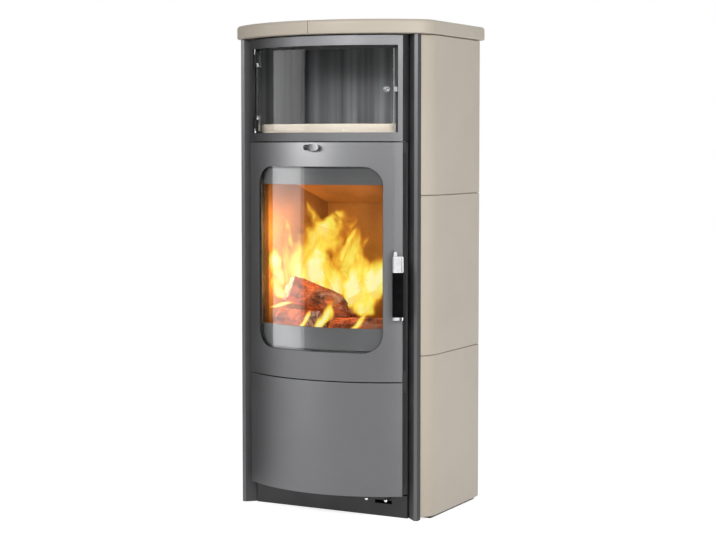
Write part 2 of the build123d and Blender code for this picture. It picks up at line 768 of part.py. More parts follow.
# ---------------------------------------------------------------- fire door
knob_shaft_radius = 4.0
shaft_clearance = 0.6
with BuildPart() as fire_door_skin:
    with BuildSketch(Plane.XY.offset(fire_door_bottom)):
        add(bow_band(door_radius, skin_inner, -door_half_width, door_half_width))
    extrude(amount=fire_door_top - fire_door_bottom)
    return_z = (fire_door_bottom + return_inset, fire_door_top - return_inset)
    return_front_y = bow_y(skin_inner, door_half_width - skin_thickness)
    return_y = (return_front_y, bow_y(door_radius, door_half_width) + return_depth)
    for side in (-1, 1):
        edge = sorted((side * door_half_width, side * (door_half_width - skin_thickness)))
        block(edge, return_y, return_z)
    with BuildSketch(Plane.XZ):
        with Locations((0, (window_bottom + window_top) / 2)):
            RectangleRounded(window_width, window_top - window_bottom, window_corner)
    extrude(amount=rear_y, mode=Mode.SUBTRACT)
    with BuildSketch(front_plane(handle_angle, door_radius + 5, handle_axis_z)):
        with Locations((handle_shaft_offset, 0)):
            Circle(handle_shaft_radius + shaft_clearance)
    extrude(amount=-20, mode=Mode.SUBTRACT)
    with BuildSketch(Plane.XZ.offset(door_radius - bow_centre_y)):
        with Locations((knob_x, knob_z)):
            Circle(knob_shaft_radius + running_gap)
    extrude(amount=-skin_thickness - 1, mode=Mode.SUBTRACT)
save(fire_door_skin.part, "fire_door_skin")

glass_half_width = window_width / 2 + glass_margin
glass_z = (window_bottom - glass_margin, window_top + glass_margin)
with BuildPart() as fire_glass:
    with BuildSketch(Plane.XY.offset(glass_z[0])):
        add(bow_band(glass_outer, glass_inner, -glass_half_width, glass_half_width))
    extrude(amount=glass_z[1] - glass_z[0])
save(fire_glass.part, "fire_glass")

pocket_inner = glass_inner - seal_thickness - 2 * fit_gap
frame_screw_radius = 1.4
frame_screw_length = 5.0
frame_screw_x = clear_width / 2 + 3.2
frame_screw_turns = (-degrees(asin(frame_screw_x / frame_inner)), degrees(asin(frame_screw_x / frame_inner)))
frame_screw_z = (500.0, 600.0, 720.0, 820.0)
latch_lug = (frame_right, door_half_width - 7.5)
latch_lug_z = (handle_axis_z - 17, handle_axis_z + 17)
with BuildPart() as fire_door_frame:
    with BuildSketch(Plane.XY.offset(fire_frame_z[0])):
        add(bow_band(frame_outer, frame_inner, frame_left, frame_right))
    extrude(amount=fire_frame_z[1] - fire_frame_z[0])
    with BuildSketch(Plane.XY.offset(glass_z[0] - fit_gap)):
        add(bow_band(frame_outer + 1, pocket_inner, -glass_half_width - fit_gap, glass_half_width + fit_gap))
    extrude(amount=glass_z[1] - glass_z[0] + 2 * fit_gap, mode=Mode.SUBTRACT)
    with BuildSketch(Plane.XZ):
        with Locations((0, (clear_bottom + clear_top) / 2)):
            Rectangle(clear_width, clear_top - clear_bottom)
    extrude(amount=rear_y, mode=Mode.SUBTRACT)
    with BuildSketch(Plane.XY.offset(latch_lug_z[0])):
        add(bow_band(frame_outer, lug_inner, latch_lug[0] - 1, latch_lug[1]))
    extrude(amount=latch_lug_z[1] - latch_lug_z[0])
    with BuildSketch(front_plane(handle_angle, door_radius, handle_axis_z)):
        with Locations((handle_shaft_offset, 0)):
            Circle(handle_shaft_radius + running_gap)
    extrude(amount=-20, mode=Mode.SUBTRACT)
    with BuildSketch(Plane.XZ.offset(door_radius - bow_centre_y)):
        with Locations((knob_x, knob_z)):
            Circle(knob_shaft_radius + shaft_clearance)
    extrude(amount=-10, mode=Mode.SUBTRACT)
    for turn in frame_screw_turns:
        for height in frame_screw_z:
            with BuildSketch(front_plane(turn, frame_inner - 1, height)):
                Circle(frame_screw_radius)
            extrude(amount=frame_screw_length + 1, mode=Mode.SUBTRACT)
    for end, way in ((fire_frame_z[0], -1), (fire_frame_z[1], 1)):
        disc(hinge_x, hinge_y, sorted((end - way * 12, end)), ear_radius - 0.5)
        block((hinge_x, frame_left + 1), (hinge_y - 6, hinge_y + 1), sorted((end - way * 12, end)))
        disc(hinge_x, hinge_y, sorted((end - way, end + way * pin_length)), pin_radius)
save(fire_door_frame.part, "fire_door_frame")


def bow_gasket(radius, half_width, low, high, width):
    """Flat rope seal round a rectangle, its outside on this radius."""
    with BuildPart() as gasket:
        with BuildSketch(Plane.XY.offset(low)):
            add(bow_band(radius, radius - seal_thickness, -half_width, half_width))
        extrude(amount=high - low)
        with BuildSketch(Plane.XZ):
            with Locations((0, (low + high) / 2)):
                Rectangle(2 * (half_width - width), high - low - 2 * width)
        extrude(amount=rear_y, mode=Mode.SUBTRACT)
    return gasket.part


glass_seal_inset = 1.0
glass_seal = bow_gasket(
    glass_inner - fit_gap,
    glass_half_width - glass_seal_inset,
    glass_z[0] + glass_seal_inset,
    glass_z[1] - glass_seal_inset,
    seal_width,
)
save(glass_seal, "glass_seal")

door_seal = bow_gasket(
    frame_seal_radius,
    frame_right - 1,
    fire_opening[0] - seal_width - 2,
    fire_opening[1] + seal_width,
    seal_width,
)
save(door_seal, "fire_door_seal")

with BuildPart() as frame_screws:
    for turn in frame_screw_turns:
        for height in frame_screw_z:
            with BuildSketch(front_plane(turn, frame_inner - 1, height)):
                Circle(frame_screw_radius - running_gap)
            extrude(amount=frame_screw_length)
            with BuildSketch(front_plane(turn, frame_inner - 0.2, height)):
                Circle(2 * frame_screw_radius)
            extrude(amount=-1.6)
save(frame_screws.part, "frame_screws")

# ---------------------------------------------------------------- handle and latch
handle_plane = front_plane(handle_angle, door_radius, handle_axis_z)
slot_place = 8.0
slot_width = 1.4
with BuildPart() as handle_sleeve:
    with BuildSketch(handle_plane.offset(nose_radii[1] - door_radius)):
        with Locations((handle_shaft_offset, 0)):
            Circle(handle_shaft_radius)
    extrude(amount=door_radius + handle_stand_off + handle_depth / 2 - nose_radii[1])
    with BuildSketch(handle_plane.offset(nose_radii[1] - door_radius)):
        with Locations((handle_shaft_offset + latch_nose_length / 2, 0)):
            Rectangle(latch_nose_length, latch_nose_height)
    extrude(amount=nose_radii[0] - nose_radii[1])
    neck_bottom = sleeve_top - 10
    with BuildSketch(handle_plane.offset(handle_stand_off)):
        with Locations((handle_shaft_offset, (neck_bottom - handle_axis_z) / 2)):
            Rectangle(2 * handle_shaft_radius, handle_axis_z - neck_bottom)
    extrude(amount=handle_depth / 2)
    with BuildSketch(handle_plane.offset(handle_stand_off)):
        with Locations((0, (sleeve_top + sleeve_bottom) / 2 - handle_axis_z)):
            RectangleRounded(handle_width, sleeve_top - sleeve_bottom, 3)
    extrude(amount=handle_depth)
    sleeve_front = faces().sort_by(Axis((0, 0, 0), handle_plane.z_dir))[-1]
    fillet(sleeve_front.edges(), 2)
    with BuildSketch(handle_plane.offset(handle_stand_off + handle_depth)):
        with Locations((slot_place, (sleeve_top + sleeve_bottom) / 2 - handle_axis_z)):
            Rectangle(slot_width, sleeve_top - sleeve_bottom)
    extrude(amount=-2 * slot_width, mode=Mode.SUBTRACT)


def handle_bar(top, bottom):
    """Length of the handle's bar between two heights."""
    with BuildPart() as bar:
        with BuildSketch(handle_plane.offset(handle_stand_off)):
            with Locations((0, (top + bottom) / 2 - handle_axis_z)):
                Rectangle(handle_width, top - bottom)
        extrude(amount=handle_depth)
        fillet(edges().filter_by(Axis.Z), 3.5)
    return bar.part


save(handle_bar(sleeve_bottom - 0.1, grip_bottom), "handle_grip")
with BuildPart() as handle_fittings:
    add(handle_sleeve.part)
    add(handle_bar(grip_bottom - 0.1, cap_bottom))
save(handle_fittings.part, "handle_fittings")

with BuildPart() as air_knob:
    knob_plane = Plane.XZ.offset(door_radius - bow_centre_y)
    with BuildSketch(knob_plane.offset(-skin_thickness - 4)):
        with Locations((knob_x, knob_z)):
            Circle(knob_shaft_radius)
    extrude(amount=skin_thickness + 4 + knob_stand_off / 2)
    with BuildSketch(knob_plane.offset(1)):
        with Locations((knob_x, knob_z)):
            Circle(knob_hub_radius)
    extrude(amount=knob_stand_off - 1)
    with BuildSketch(knob_plane.offset(4)):
        with Locations((knob_x, knob_z)):
            SlotOverall(2 * knob_wing_length, knob_wing_height)
    extrude(amount=knob_stand_off - 4)
save(air_knob.part, "window_air_knob")

# ---------------------------------------------------------------- lower door
lower_frame_border = 26.0
lower_frame_depth = 9.0
with BuildPart() as lower_door_skin:
    with BuildSketch(Plane.XY.offset(lower_door_bottom)):
        add(bow_band(door_radius, skin_inner, -door_half_width, door_half_width))
    extrude(amount=lower_door_top - lower_door_bottom)
    return_z = (lower_door_bottom + return_inset, lower_door_top - return_inset)
    for side in (-1, 1):
        edge = sorted((side * door_half_width, side * (door_half_width - skin_thickness)))
        block(edge, return_y, return_z)
save(lower_door_skin.part, "lower_door_skin")

with BuildPart() as lower_door_frame:
    with BuildSketch(Plane.XY.offset(lower_frame_z[0])):
        add(bow_band(frame_outer, frame_outer - lower_frame_depth, frame_left, -frame_left))
    extrude(amount=lower_frame_z[1] - lower_frame_z[0])
    with BuildSketch(Plane.XZ):
        with Locations((0, sum(lower_frame_z) / 2)):
            Rectangle(
                -2 * (frame_left + lower_frame_border),
                lower_frame_z[1] - lower_frame_z[0] - 2 * lower_frame_border,
            )
    extrude(amount=rear_y, mode=Mode.SUBTRACT)
    for end, way in ((lower_frame_z[0], -1), (lower_frame_z[1], 1)):
        disc(hinge_x, hinge_y, sorted((end - way * 12, end)), ear_radius - 0.5)
        block((hinge_x, frame_left + 1), (hinge_y - 6, hinge_y + 1), sorted((end - way * 12, end)))
        disc(hinge_x, hinge_y, sorted((end - way, end + way * pin_length)), pin_radius)
save(lower_door_frame.part, "lower_door_frame")

# ---------------------------------------------------------------- warming compartment
warm_frame_depth = 11.0
warm_hinge_radius = skin_inner - 2.6
warm_hinge_y = bow_y(warm_hinge_radius, warm_hinge_x)
warm_tab = 3.5
with BuildPart() as warm_frame:
    with BuildSketch(Plane.XY.offset(warm_frame_bottom)):
        add(bow_band(door_radius, skin_inner, -door_half_width, door_half_width))
    extrude(amount=warm_frame_top - warm_frame_bottom)
    warm_return_z = (warm_frame_bottom, warm_frame_top)
    for side in (-1, 1):
        edge = sorted((side * door_half_width, side * (door_half_width - skin_thickness)))
        block(edge, (return_y[0], wall_front_y - fit_gap), warm_return_z)
    rim = 2.0
    rim_half_width = warm_opening_half_width + rim
    with BuildSketch(Plane.XY.offset(warm_opening_bottom - rim)):
        add(bow_band(skin_inner + 0.5, door_radius - warm_frame_depth, -rim_half_width, rim_half_width))
    extrude(amount=warm_opening_top - warm_opening_bottom + 2 * rim)
    with BuildSketch(Plane.XZ):
        with Locations((0, (warm_opening_bottom + warm_opening_top) / 2)):
            Rectangle(2 * warm_opening_half_width, warm_opening_top - warm_opening_bottom)
    extrude(amount=rear_y, mode=Mode.SUBTRACT)
    # Tabs behind the rails that carry the glass door's pins
    for tab_z in ((warm_opening_bottom - rim - warm_tab, warm_opening_bottom),
                  (warm_opening_top, warm_opening_top + rim + warm_tab)):
        with BuildSketch(Plane.XY.offset(tab_z[0])):
            add(bow_band(skin_inner + 0.5, warm_hinge_radius - 5, warm_hinge_x - 6, warm_hinge_x + 8))
        extrude(amount=tab_z[1] - tab_z[0])
        hinge_bore = (tab_z[0] - 1, tab_z[1] + rim)
        disc(warm_hinge_x, warm_hinge_y, hinge_bore, warm_pin_radius + running_gap, mode=Mode.SUBTRACT)
save(warm_frame.part, "warming_frame")

liner_z = (fire_ceiling_z + body_sheet + fit_gap + 8, body_top - 14)
liner_radius = door_radius - warm_frame_depth - fit_gap - 8
liner_rim_half_width = body_half_width - body_sheet - fit_gap
with BuildPart() as warm_liner:
    outer_half = liner_half_width + liner_thickness
    with BuildSketch(Plane.XY.offset(liner_z[0])):
        add(bow_floor(liner_radius - 1, outer_half, liner_back_y + liner_thickness))
    extrude(amount=liner_z[1] - liner_z[0])
    with BuildSketch(Plane.XY.offset(liner_z[0] + liner_thickness)):
        add(bow_floor(liner_radius + 2, liner_half_width, liner_back_y))
    extrude(amount=liner_z[1] - liner_z[0] - 2 * liner_thickness, mode=Mode.SUBTRACT)
    # Front rim that closes the gap to the body
    with BuildSketch(Plane.XY.offset(fire_ceiling_z + body_sheet + fit_gap)):
        liner_inner_radius = liner_radius - liner_thickness
        add(bow_band(liner_radius, liner_inner_radius, -liner_rim_half_width, liner_rim_half_width))
    extrude(amount=body_top - fit_gap - fire_ceiling_z - body_sheet - fit_gap)
    with BuildSketch(Plane.XZ):
        with Locations((0, (liner_z[0] + liner_z[1]) / 2)):
            Rectangle(2 * liner_half_width, liner_z[1] - liner_z[0] - 2 * liner_thickness)
    extrude(amount=rear_y, mode=Mode.SUBTRACT)
save(warm_liner.part, "warming_liner")

slab_z = liner_z[0] + liner_thickness + fit_gap
slab_half_width = liner_half_width - 1
with BuildPart() as warm_slab:
    with BuildSketch(Plane.XY.offset(slab_z)):
        add(bow_floor(warm_slab_bow_radius, slab_half_width, liner_back_y - 2))
    extrude(amount=warm_opening_bottom + warm_slab_thickness - 1 - slab_z)
    fillet(edges().group_by(Axis.Z)[-1], 3)
save(warm_slab.part, "warming_slab")

warm_glass_outer = skin_inner - 4
with BuildPart() as warm_glass:
    with BuildSketch(Plane.XY.offset(warm_glass_bottom)):
        warm_glass_inner = warm_glass_outer - glass_thickness
        add(bow_band(warm_glass_outer, warm_glass_inner, -warm_glass_half_width, warm_glass_half_width))
    extrude(amount=warm_glass_top - warm_glass_bottom)
save(warm_glass.part, "warming_glass")

clamp_left = warm_hinge_x - 3.5
clamp_right = -warm_glass_half_width + 11
clamp_sheet = 2.4
warm_frame_tabs = (warm_opening_bottom - rim - warm_tab, warm_opening_top + rim + warm_tab)
with BuildPart() as glass_hinges:
    for end, way, pin_end in (
        (warm_glass_bottom, 1, warm_frame_tabs[0]),
        (warm_glass_top, -1, warm_frame_tabs[1]),
    ):
        clamp_z = sorted((end - way * 0.8, end + way * clamp_height))
        with BuildSketch(Plane.XY.offset(clamp_z[0])):
            add(bow_band(
                warm_glass_outer + fit_gap + clamp_sheet,
                warm_glass_outer - glass_thickness - fit_gap - clamp_sheet,
                clamp_left,
                clamp_right,
            ))
        extrude(amount=clamp_z[1] - clamp_z[0])
        with BuildSketch(Plane.XY.offset(clamp_z[0] - 1)):
            add(bow_band(
                warm_glass_outer + fit_gap,
                warm_glass_outer - glass_thickness - fit_gap,
                -warm_glass_half_width - fit_gap,
                clamp_right + 1,
            ))
        extrude(amount=clamp_z[1] - clamp_z[0] + 2, mode=Mode.SUBTRACT)
        disc(warm_hinge_x, warm_hinge_y, sorted((end + way * 6, pin_end)), warm_pin_radius)
        cap_angle = -degrees(asin((warm_glass_half_width - 5.5) / warm_glass_outer))
        with BuildSketch(front_plane(cap_angle, warm_glass_outer + fit_gap, end + way * clamp_height)):
            Circle(clamp_cap_radius)
        extrude(amount=clamp_sheet + 3)
save(glass_hinges.part, "warming_hinges")

warm_knob_angle = degrees(asin(warm_knob_x / (warm_glass_outer + 10)))
with BuildPart() as warm_knob:
    with BuildSketch(front_plane(warm_knob_angle, warm_glass_outer + fit_gap, warm_knob_z)):
        Circle(warm_knob_radius * 0.7)
    extrude(amount=6)
    with BuildSketch(front_plane(warm_knob_angle, warm_glass_outer + 6, warm_knob_z)):
        Circle(warm_knob_radius)
    extrude(amount=9)
    with BuildSketch(front_plane(warm_knob_angle, warm_glass_outer + 15, warm_knob_z)):
        Circle(warm_knob_radius * 0.45)
    extrude(amount=-3, mode=Mode.SUBTRACT)
save(warm_knob.part, "warming_knob")

catch_size = 12.0
lower_catch_z = 205.0
with BuildPart() as door_catches:
    with BuildSketch(Plane.XY.offset(keeper_bottom)):
        add(bow_band(lug_inner - 1, flange_radius, *keeper_x))
    extrude(amount=keeper_thickness)
    with BuildSketch(Plane.XY.offset(keeper_bottom)):
        add(bow_band(flange_radius + 3, flange_radius, *keeper_x))
    extrude(amount=4 * keeper_thickness)
    with BuildSketch(Plane.XY.offset(warm_knob_z - catch_size / 2)):
        stop_x = (warm_glass_half_width + 2, warm_opening_half_width - fit_gap)
        add(bow_band(skin_inner - 1, warm_glass_outer - 8, *stop_x))
    extrude(amount=catch_size)
    with BuildSketch(Plane.XY.offset(lower_catch_z - catch_size)):
        magnet_radii = (frame_outer - lower_frame_depth - fit_gap, flange_radius + fit_gap)
        add(bow_band(*magnet_radii, body_half_width - 27, body_half_width - 9))
    extrude(amount=2 * catch_size)
save(door_catches.part, "door_catches")

# ---------------------------------------------------------------- side tiles and heat shields
front_centre_y = profile_front_y + 19 + tile_front_radius * sin(radians(tile_front_turn))
front_centre = (tile_half_width - tile_front_radius, front_centre_y)
rear_centre = (tile_half_width - tile_rear_radius, rear_y - tile_rear_radius)
tile_rows = (
    ("lower", base_thickness + fit_gap, tile_joint_heights[0] - tile_joint / 2),
    ("middle", tile_joint_heights[0] + tile_joint / 2, tile_joint_heights[1] - tile_joint / 2),
    ("upper", tile_joint_heights[1] + tile_joint / 2, top_plate_bottom - tile_top_gap),
)


def tile_plan():
    """Plan of a right-hand tile: flat side between a wide front corner and a tight rear one."""
    front_inner = tile_front_radius - tile_thickness
    rear_inner = tile_rear_radius - tile_thickness
    turn = radians(tile_front_turn)

    def nose(radius):
        return (front_centre[0] + radius * cos(turn), front_centre[1] - radius * sin(turn))

    with BuildSketch() as plan:
        with BuildLine():
            CenterArc(front_centre, tile_front_radius, -tile_front_turn, tile_front_turn)
            Line((tile_half_width, front_centre[1]), (tile_half_width, rear_centre[1]))
            CenterArc(rear_centre, tile_rear_radius, 0, 90)
            Line((rear_centre[0], rear_y), (rear_centre[0], rear_y - tile_thickness))
            CenterArc(rear_centre, rear_inner, 0, 90)
            inner_x = tile_half_width - tile_thickness
            Line((inner_x, rear_centre[1]), (inner_x, front_centre[1]))
            CenterArc(front_centre, front_inner, -tile_front_turn, tile_front_turn)
            Line(nose(front_inner), nose(tile_front_radius))
        make_face()
    return plan.sketch


for row, tile_low, tile_high in tile_rows:
    with BuildPart() as right_tile:
        with BuildSketch(Plane.XY.offset(tile_low)):
            add(tile_plan())
        extrude(amount=tile_high - tile_low)
        rims = edges().group_by(Axis.Z)
        chamfer(rims[0] + rims[-1], tile_edge_bevel)
    save(right_tile.part, f"side_tile_right_{row}")
    with BuildPart() as left_tile:
        mirror(right_tile.part, about=Plane.YZ)
    save(left_tile.part, f"side_tile_left_{row}")

shield_x = body_half_width + 17
shield_sheet = 2.0
shield_y = (-70.0, 195.0)
rail_y = (-50.0, 180.0)
rail_reach = 110.0
spacer_y = (-55.0, 120.0)
spacer_width = 20.0
spacer_z = (40.0, top_plate_bottom - 25)
spacer_bore_z = (spacer_z[0] - 1, spacer_z[1] + 1)
tile_inner_x = tile_half_width - tile_thickness
with BuildPart() as shield_right:
    block((shield_x, shield_x + shield_sheet), shield_y, (base_thickness + fit_gap, top_plate_bottom - 6))
    for near_y in spacer_y:
        block((body_half_width + fit_gap, shield_x), (near_y, near_y + spacer_width), spacer_z)
        block((body_half_width - 1, shield_x), (near_y + 2, near_y + spacer_width - 2), spacer_bore_z,
              mode=Mode.SUBTRACT)
        block((body_half_width + fit_gap, body_half_width + 2), (near_y, near_y + spacer_width), spacer_z)
    for row, tile_low, tile_high in tile_rows:
        for height in ((tile_low + tile_high) / 2 - rail_reach, (tile_low + tile_high) / 2 + rail_reach):
            block((shield_x + shield_sheet, tile_inner_x), rail_y, (height, height + shield_sheet))
            block((tile_inner_x - shield_sheet, tile_inner_x), rail_y, (height, height + 16))
save(shield_right.part, "heat_shield_right")

with BuildPart() as shield_left:
    mirror(shield_right.part, about=Plane.YZ)
save(shield_left.part, "heat_shield_left")

# ---------------------------------------------------------------- back panel and flue
back_panel_y = rear_y - 22.0
back_panel_sheet = 1.5
back_panel_half_width = rear_centre[0] - fit_gap
vent_rows = (300.0, 700.0)
panel_leg_x = body_half_width - 16
with BuildPart() as back_panel:
    panel_z = (base_thickness + fit_gap, top_plate_bottom - 6)
    panel_y = (back_panel_y, back_panel_y + back_panel_sheet)
    block((-back_panel_half_width, back_panel_half_width), panel_y, panel_z)
    for side in (-1, 1):
        leg = sorted((side * panel_leg_x, side * (panel_leg_x - back_panel_sheet)))
        block(leg, (body_back_y + fit_gap, back_panel_y), panel_z)
    panel_limits = (back_panel_y - 1, back_panel_y + back_panel_sheet + 1)
    rod_y(0, flue_z, panel_limits, flue_radius + 14, mode=Mode.SUBTRACT)
    rod_y(0, air_spigot_z, panel_limits, air_spigot_radius + 10, mode=Mode.SUBTRACT)
    for row_z in vent_rows:
        with BuildSketch(Plane.XZ.offset(-back_panel_y - 3)):
            with Locations((0, row_z)):
                with GridLocations(30, 0, 9, 1):
                    SlotOverall(60, 8, rotation=90)
        extrude(amount=4, mode=Mode.SUBTRACT)
save(back_panel.part, "back_panel")

panel_screw_radius = 5.0
panel_screw_places = [(x, z) for x in (-150, 150) for z in (60, 480, 880, top_plate_bottom - 35)]
with BuildPart() as panel_screws:
    for screw_x, screw_z in panel_screw_places:
        outer_y = back_panel_y + back_panel_sheet
        rod_y(screw_x, screw_z, (outer_y + fit_gap, outer_y + 3.3), panel_screw_radius)
save(panel_screws.part, "back_panel_screws")

with BuildPart() as flue_collar:
    rod_y(0, flue_z, (body_back_y + fit_gap, rear_y), flue_radius)
    rod_y(0, flue_z, (body_back_y + fit_gap, body_back_y + 4), flue_radius + 10)
    rod_y(0, flue_z, (body_back_y - 1, rear_y + 1), flue_radius - flue_wall, mode=Mode.SUBTRACT)
save(flue_collar.part, "flue_collar")

# ---------------------------------------------------------------- top plate
top_plate_side_y = bow_centre_y - sqrt(top_plate_bow_radius ** 2 - top_plate_half_width ** 2)
with BuildPart() as top_plate:
    with BuildSketch(Plane.XY.offset(top_plate_bottom)) as plate_outline:
        with BuildLine():
            left_front = (-top_plate_half_width, top_plate_side_y)
            right_front = (top_plate_half_width, top_plate_side_y)
            ThreePointArc(left_front, (0, -rear_y), right_front)
            Polyline(
                right_front,
                (top_plate_half_width, rear_y),
                (-top_plate_half_width, rear_y),
                left_front,
            )
        make_face()
        corners = plate_outline.vertices().sort_by(Axis.Y)
        fillet(corners[:2], top_plate_corner_radius)
        fillet(plate_outline.vertices().sort_by(Axis.Y)[-2:], top_plate_rear_radius)
    extrude(amount=top_plate_thickness)
    fillet(edges().group_by(Axis.Z)[-1], top_plate_edge_round)
    fillet(edges().group_by(Axis.Z)[0], top_plate_edge_round / 2)

with BuildPart() as plate_right:
    add(top_plate.part)
    cut_x = (-top_plate_half_width - 1, top_plate_seam / 2)
    cut_z = (top_plate_bottom - 1, overall_height + 1)
    block(cut_x, (-rear_y - 1, rear_y + 1), cut_z, mode=Mode.SUBTRACT)
save(plate_right.part, "top_plate_right")

with BuildPart() as plate_left:
    mirror(plate_right.part, about=Plane.YZ)
save(plate_left.part, "top_plate_left")
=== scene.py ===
import json
import math

import bmesh
import bpy
from mathutils import Matrix, Vector, noise


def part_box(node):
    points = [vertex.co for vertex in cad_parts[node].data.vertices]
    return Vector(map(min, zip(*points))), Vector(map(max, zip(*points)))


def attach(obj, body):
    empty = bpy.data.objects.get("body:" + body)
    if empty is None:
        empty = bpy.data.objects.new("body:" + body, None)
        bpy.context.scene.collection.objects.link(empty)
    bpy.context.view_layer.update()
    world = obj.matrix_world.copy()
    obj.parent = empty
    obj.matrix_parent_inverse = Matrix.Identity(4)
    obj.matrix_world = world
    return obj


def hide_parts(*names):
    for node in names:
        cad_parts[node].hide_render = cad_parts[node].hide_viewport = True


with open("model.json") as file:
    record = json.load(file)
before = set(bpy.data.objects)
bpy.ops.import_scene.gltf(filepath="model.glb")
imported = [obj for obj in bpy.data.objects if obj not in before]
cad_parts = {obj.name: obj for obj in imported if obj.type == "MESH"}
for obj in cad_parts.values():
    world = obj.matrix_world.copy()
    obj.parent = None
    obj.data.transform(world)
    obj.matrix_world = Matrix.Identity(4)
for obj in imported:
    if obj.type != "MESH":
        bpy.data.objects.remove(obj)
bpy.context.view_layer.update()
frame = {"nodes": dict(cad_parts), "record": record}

bl_info = {
    "name": "Tiled wood stove",
    "version": (1, 0, 0),
    "blender": (4, 5, 0),
    "location": "3D View > Sidebar > Stove",
    "description": "Finishes, fire and studio for a wood stove with ceramic side tiles",
    "category": "Object",
}

TILES = [f"side_tile_{side}_{row}" for side in ("left", "right") for row in ("lower", "middle", "upper")]
CHROME_NODES = ("handle_fittings", "window_air_knob", "warming_hinges", "warming_knob", "primary_air_rod",
                "secondary_air_rod")
DOOR_NODES = ("fire_door_skin", "fire_door_frame", "lower_door_skin")
RAIL_NODES = ("warming_frame", "side_profile_left", "side_profile_right")
BOW_AXIS_Y = 0.1753
EMBER_SEED = 7


# ---------------------------------------------------------------- settings
class StoveSizes(bpy.types.PropertyGroup):
    edge_softness: bpy.props.FloatProperty(
        name="Steel edge softness", description="Rounding of the sheet steel's edges",
        default=0.0007, min=0.0, unit="LENGTH")
    tile_edge: bpy.props.FloatProperty(
        name="Tile edge rounding", description="Rounding added to the edges of the ceramic tiles",
        default=0.0012, min=0.0, unit="LENGTH")
    bark_depth: bpy.props.FloatProperty(
        name="Bark depth", description="How far the bark's ridges stand out of a log",
        default=0.0045, min=0.0, unit="LENGTH")
    ember_size: bpy.props.FloatProperty(
        name="Ember size", description="Width of the glowing lumps under the logs",
        default=0.017, min=0.001, unit="LENGTH")


class StoveColours(bpy.types.PropertyGroup):
    glaze: bpy.props.FloatVectorProperty(
        name="Ceramic glaze", description="Colour of the tiles and the top plate",
        subtype="COLOR", size=3, min=0, max=1, default=(0.555, 0.490, 0.405))
    anthracite: bpy.props.FloatVectorProperty(
        name="Anthracite paint", description="Colour of the doors and side profiles",
        subtype="COLOR", size=3, min=0, max=1, default=(0.135, 0.135, 0.139))
    brick: bpy.props.FloatVectorProperty(
        name="Firebrick", description="Colour of the firebox lining",
        subtype="COLOR", size=3, min=0, max=1, default=(0.41, 0.215, 0.075))
    flame_core: bpy.props.FloatVectorProperty(
        name="Flame core", description="Colour of the hottest part of the flames",
        subtype="COLOR", size=3, min=0, max=1, default=(1.0, 0.95, 0.44))
    flame_edge: bpy.props.FloatVectorProperty(
        name="Flame edge", description="Colour of the flames' outer parts",
        subtype="COLOR", size=3, min=0, max=1, default=(0.90, 0.28, 0.02))
    ember_glow: bpy.props.FloatVectorProperty(
        name="Ember glow", description="Colour of the glowing cracks in the logs and embers",
        subtype="COLOR", size=3, min=0, max=1, default=(1.0, 0.13, 0.015))


def sizes():
    return bpy.context.scene.stove_sizes


def colours():
    return bpy.context.scene.stove_colours


# ---------------------------------------------------------------- node helpers
def add_node(tree, kind, **values):
    """Adds a shader node, named without its prefix, and sets its fields or its named inputs."""
    made = tree.nodes.new("ShaderNode" + kind)
    for key, value in values.items():
        if hasattr(made, key):
            setattr(made, key, value)
        else:
            made.inputs[key.replace("_", " ")].default_value = value
    return made


def join(tree, start, output, end, given):
    """Links a node's output to another node's input, both by name or place."""
    tree.links.new(start.outputs[output], end.inputs[given])


def new_group(name, inputs, outputs):
    """Starts a node group with named sockets: inputs as (name, kind, default), outputs as (name, kind)."""
    group = bpy.data.node_groups.new(name, "ShaderNodeTree")
    for label, kind, default in inputs:
        socket = group.interface.new_socket(name=label, in_out="INPUT", socket_type=kind)
        socket.default_value = default
    for label, kind in outputs:
        group.interface.new_socket(name=label, in_out="OUTPUT", socket_type=kind)
    return group, group.nodes.new("NodeGroupInput"), group.nodes.new("NodeGroupOutput")


def use_group(tree, name, **values):
    """Places a shared node group in a material with its own values."""
    made = tree.nodes.new("ShaderNodeGroup")
    made.node_tree = bpy.data.node_groups[name]
    for key, value in values.items():
        made.inputs[key.replace("_", " ")].default_value = value
    return made


def with_alpha(colour):
    return (colour[0], colour[1], colour[2], 1.0)


def shade(colour, factor):
    return (colour[0] * factor, colour[1] * factor, colour[2] * factor, 1.0)


def in_clouds(tree, first, second, clouds, grain, grain_share):
    """Places the soft clouds: two colours, the scales of the clouds and the grain, and the grain's share."""
    return use_group(tree, "soft clouds", First_Colour=with_alpha(first), Second_Colour=with_alpha(second),
                     Cloud_Scale=clouds, Grain_Scale=grain, Grain_Amount=grain_share)


